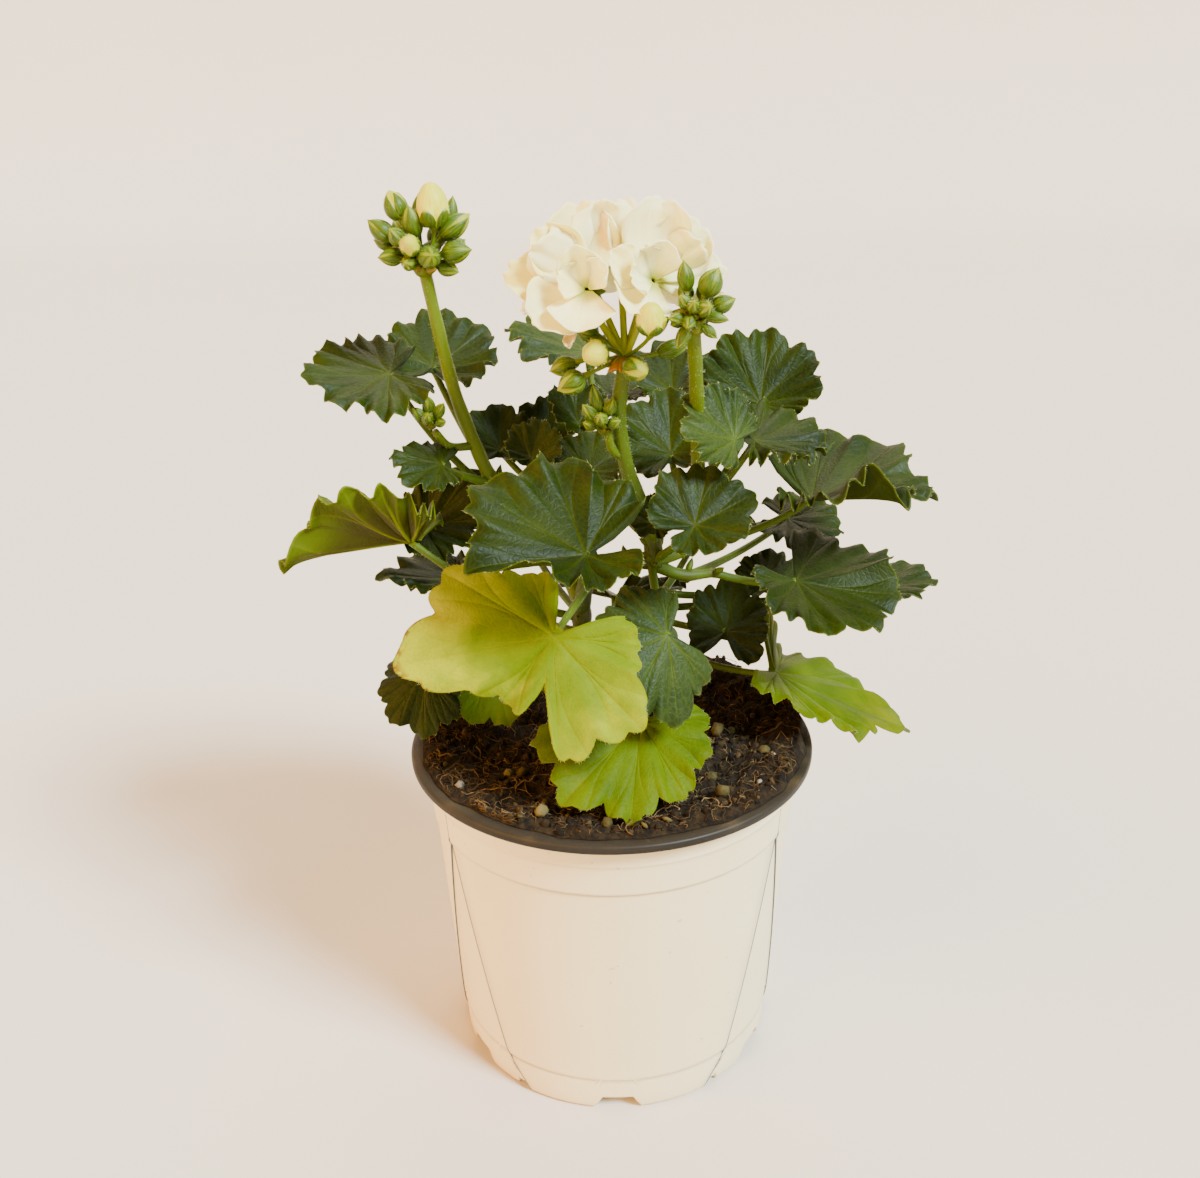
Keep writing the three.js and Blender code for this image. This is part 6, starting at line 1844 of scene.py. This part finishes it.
@dataclass
class Umbel:
    """The open umbel: five double florets on pedicels, buds, bracts and a wilted petal that hangs below."""
    root: Point = (4.7, -20, 217.6)
    florets: list[Floret] = field(default_factory=lambda: [
        # The left floret's petals get more warmth: painted warm light from the left over the petals' cream tint.
        Floret((-4.6, -26, 235.6), (-0.15, -0.88, 0.45), [
            Petal(-8, 84, 22, 18, 0.5, 0.8), Petal(-42, 72, 19, 14, 0.7), Petal(-80, 84, 21, 13, 0.9),
            Petal(-124, 76, 16, 17, 0.4), Petal(-176, 66, 13, 17, 0.35), Petal(-20, 38, 12, 11, 0.5),
            Petal(-75, 44, 9, 9, 0.6), Petal(48, 40, 10, 8, 0.3),
        ]),
        Floret((11.4, -26, 237.4), (0.12, -0.88, 0.45), [
            Petal(-16, 92, 22.5, 13, 0.25, 0.4), Petal(8, 74, 20, 17, 0.1), Petal(44, 84, 19, 16, 0.1),
            Petal(80, 92, 19, 13, 0.05), Petal(-66, 66, 13, 11, 0.35), Petal(-148, 68, 12, 16, 0.3),
            Petal(20, 36, 11, 11, 0.2), Petal(-34, 42, 10, 9, 0.2), Petal(-105, 44, 9, 8, 0.3),
        ]),
        Floret((-6, -14, 239), (-0.7, 0.55, 0.5), seed=11),
        Floret((14, -13, 239), (0.75, 0.5, 0.45), seed=12),
        Floret((4, -12, 241), (0, 0.85, 0.6), seed=13),
    ])
    placed: list[Placed] = field(default_factory=lambda: [
        ((-1, -24, 220.5), (-5, -29, 219.5), 3.2), ((10.8, -31.5, 226), (10.5, -34.5, 233), 3.6),
        ((5, -25, 216.5), (9.5, -30, 215.8), 2.9), ((-6, -23, 213.5), (-12, -25, 210.8), 2.6),
        ((-8, -20, 216.5), (-14, -20, 214.5), 2.1), ((13, -18, 218), (21, -15, 220), 1.9),
        ((-2, -20, 223), (-7.5, -20, 224.8), 1.9),
    ])
    opened: Opened = field(default_factory=lambda: {0: (0.45, 0.95), 1: (0.5, 0.95), 2: (0.9, 0.35), 3: (1.0, 0.2)})
    bract: float = 4.4

    def pedicels(self) -> list[Shell]:
        """Green stalks that end in a calyx of five narrow sepals behind each floret."""
        root = np.array(self.root, float)
        made = []
        t, s = np.linspace(0, 1, 24), np.linspace(0, 1, 9)
        radii = 0.9 + 0.15 * smooth(-t, -0.1, 0) + 0.7 * smooth(t, 0.78, 1.0)
        stalk = stacked(0 * t, 1, 0.12, 0)
        sepal = stacked(1, s, 0, 0)
        narrow = 1.1 * np.sin(math.pi * (0.15 + 0.85 * s) ** 0.8) + 0.05
        for floret in self.florets:
            axis = unit(np.array(floret.axis, float))
            seat = np.array(floret.centre, float) - axis * 1.6
            made.append(tube(bezier(root, seat - axis * 5 - UP * 4, seat, 24), radii, 12, ribs=0.05, marks=stalk))
            for turn in full_turn(5):
                radial = out_of(axis, turn + 0.3)
                line = bezier(seat - axis, seat + radial * 2.4 - axis * 0.9, seat + radial * 4.6 - axis * 0.2, 9)
                made.append(tube(line, narrow, 8, marks=sepal))
        return made

    def build(self, bud: Material, petal: Material) -> list[Bud]:
        """Makes the umbel's green and its petals, and hands its buds on for their hairs."""
        made = make_buds(self.root, self.placed, self.opened, 61)
        green = self.pedicels() + [shell for b in made for shell in (b.pedicel(), b.body())]
        green += bracts(np.array(self.root, float), 1.35 * self.bract, 9, 1.0, 61, 0.8)
        make_piece("umbel_stalks", green, [bud], ("umbel_green",))
        petals = [shell for k, floret in enumerate(self.florets) for shell in floret.shells(k)]
        wilted = Petal(150, 60, 9, 4, 0.6, 0.0, 0.9)
        petals.append(wilted.shell(np.array([-9.6, -27, 228.5]), unit(np.array([-0.3, -0.6, 0.2])), 5))
        make_piece("umbel_flowers", petals, [petal], ("umbel_petals",))
        return made


# Stage

@dataclass
class Stage:
    """The pale floor with a curved back, soft lights and the camera."""
    camera: Point = (-2.66, -332.9, 283.05)
    pitch: float = 0.389213
    roll: float = -0.0176982
    lens: float = 37.5
    sky: float = 0.5
    floor_half: float = 3000.0
    floor_front: float = -2500.0
    floor_run: float = 4500.0
    back_run: float = 900.0
    back_height: float = 2600.0
    floor_drop: float = 0.2
    lights: tuple[tuple[str, Point, float, float, Colour], ...] = (
        ("light_right", (1.1, -0.9, 1.5), 18, 11, (0.74, 0.89, 1.0)),
        ("light_left", (-1.4, -0.8, 0.85), 60, 6.6, (1.0, 0.5, 0.12)),
        ("light_back", (0.2, 1.0, 1.8), 40, 2.4, (1.0, 0.93, 0.8)),
    )

    def floor(self) -> None:
        """A pale sheet that runs flat and then curves up at the back."""
        x = np.linspace(-self.floor_half, self.floor_half, 25)
        run = np.linspace(0, 1, 40)
        flat = np.clip(run / 0.6, 0, 1)
        rise = np.clip((run - 0.6) / 0.4, 0, 1)
        y = self.floor_front + self.floor_run * flat + self.back_run * np.sin(rise * math.pi / 2)
        z = self.back_height * (1 - np.cos(rise * math.pi / 2)) - self.floor_drop
        grid = stacked(x[None], y[:, None], z[:, None])
        mesh = bpy.data.meshes.new("floor")
        mesh.from_pydata((grid.reshape(-1, 3) * MM).tolist(), [], grid_faces(40, 25, False)[:, ::-1].tolist())
        mesh.shade_smooth()
        g = Graph("floor_pale")
        tone = g.blend(g.noise(g.place(), 3, 3), (0.68, 0.59, 0.48), (0.71, 0.62, 0.51))
        mesh.materials.append(g.finish(tone, 0.8))
        added("floor", mesh)

    def light(self, name: str, at: Point, softness: float, power: float, colour: Colour) -> None:
        """A far soft light that shines on the plant: a sun as wide as its softness, in degrees."""
        lamp = bpy.data.lights.new(name, "SUN")
        lamp.angle, lamp.energy, lamp.color = math.radians(softness), power, colour
        made = added(name, lamp)
        made.location = Vector(at)
        made.rotation_euler = (Vector((0, 0, 0.15)) - Vector(at)).to_track_quat("-Z", "Y").to_euler()

    def build(self) -> None:
        """Makes floor, lights, sky and camera."""
        self.floor()
        for light in self.lights:
            self.light(*light)
        world = bpy.data.worlds.new("soft_sky")
        world.use_nodes = True
        sky = world.node_tree.nodes["Background"].inputs
        sky["Color"].default_value = (1.0, 0.8, 0.52, 1)
        sky["Strength"].default_value = self.sky
        bpy.context.scene.world = world
        lens = bpy.data.cameras.new("camera")
        lens.lens, lens.sensor_width, lens.clip_start = self.lens, 36, 0.01
        made = added("camera", lens)
        forward = np.array([0, math.cos(self.pitch), -math.sin(self.pitch)])
        right = np.array([1.0, 0, 0])
        upward = np.cross(right, forward)
        turned, raised = swing(self.roll, right, upward), swing(self.roll, upward, -right)
        made.matrix_world = Matrix.Translation(Vector(self.camera) * MM) @ Matrix(
            np.stack([turned, raised, -forward], axis=1).tolist()).to_4x4()
        bpy.context.scene.camera = made


def build_hairs(buds: list[Bud], finish: Material) -> None:
    """Makes the fine hairs of leaves, stems and buds.

    Args:
        buds: every bud of the plant.
        finish: the hairs' material.
    """
    make_piece("hairs_leaves", [leaf.margin_hairs() for leaf in LEAVES], [finish])
    make_piece("hairs_stems", [Stems().hairs()], [finish])
    draw = np.random.default_rng(91)
    coat = hair_coat([bud.hairs(draw) for bud in buds], HAIR_WIDTHS["bud"])
    make_piece("hairs_buds", [coat], [finish])


def main() -> None:
    logging.basicConfig(level=logging.INFO, format="%(name)s %(message)s")
    Pot().build()
    Soil().build()
    stem = STEM_FINISH.material()
    bud = BUD_FINISH.material()
    blades = {tone: finish.material() for tone, finish in LEAF_FINISHES.items()}
    Stems().build(stem)
    for leaf in LEAVES:
        leaf.build(blades, stem)
    buds = [b for head in HEADS for b in head.build(bud)]
    buds += Umbel().build(bud, PETAL_FINISH.material())
    build_hairs(buds, HAIR_FINISH.material())
    Stage().build()
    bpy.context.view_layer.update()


if __name__ == "__main__":
    main()
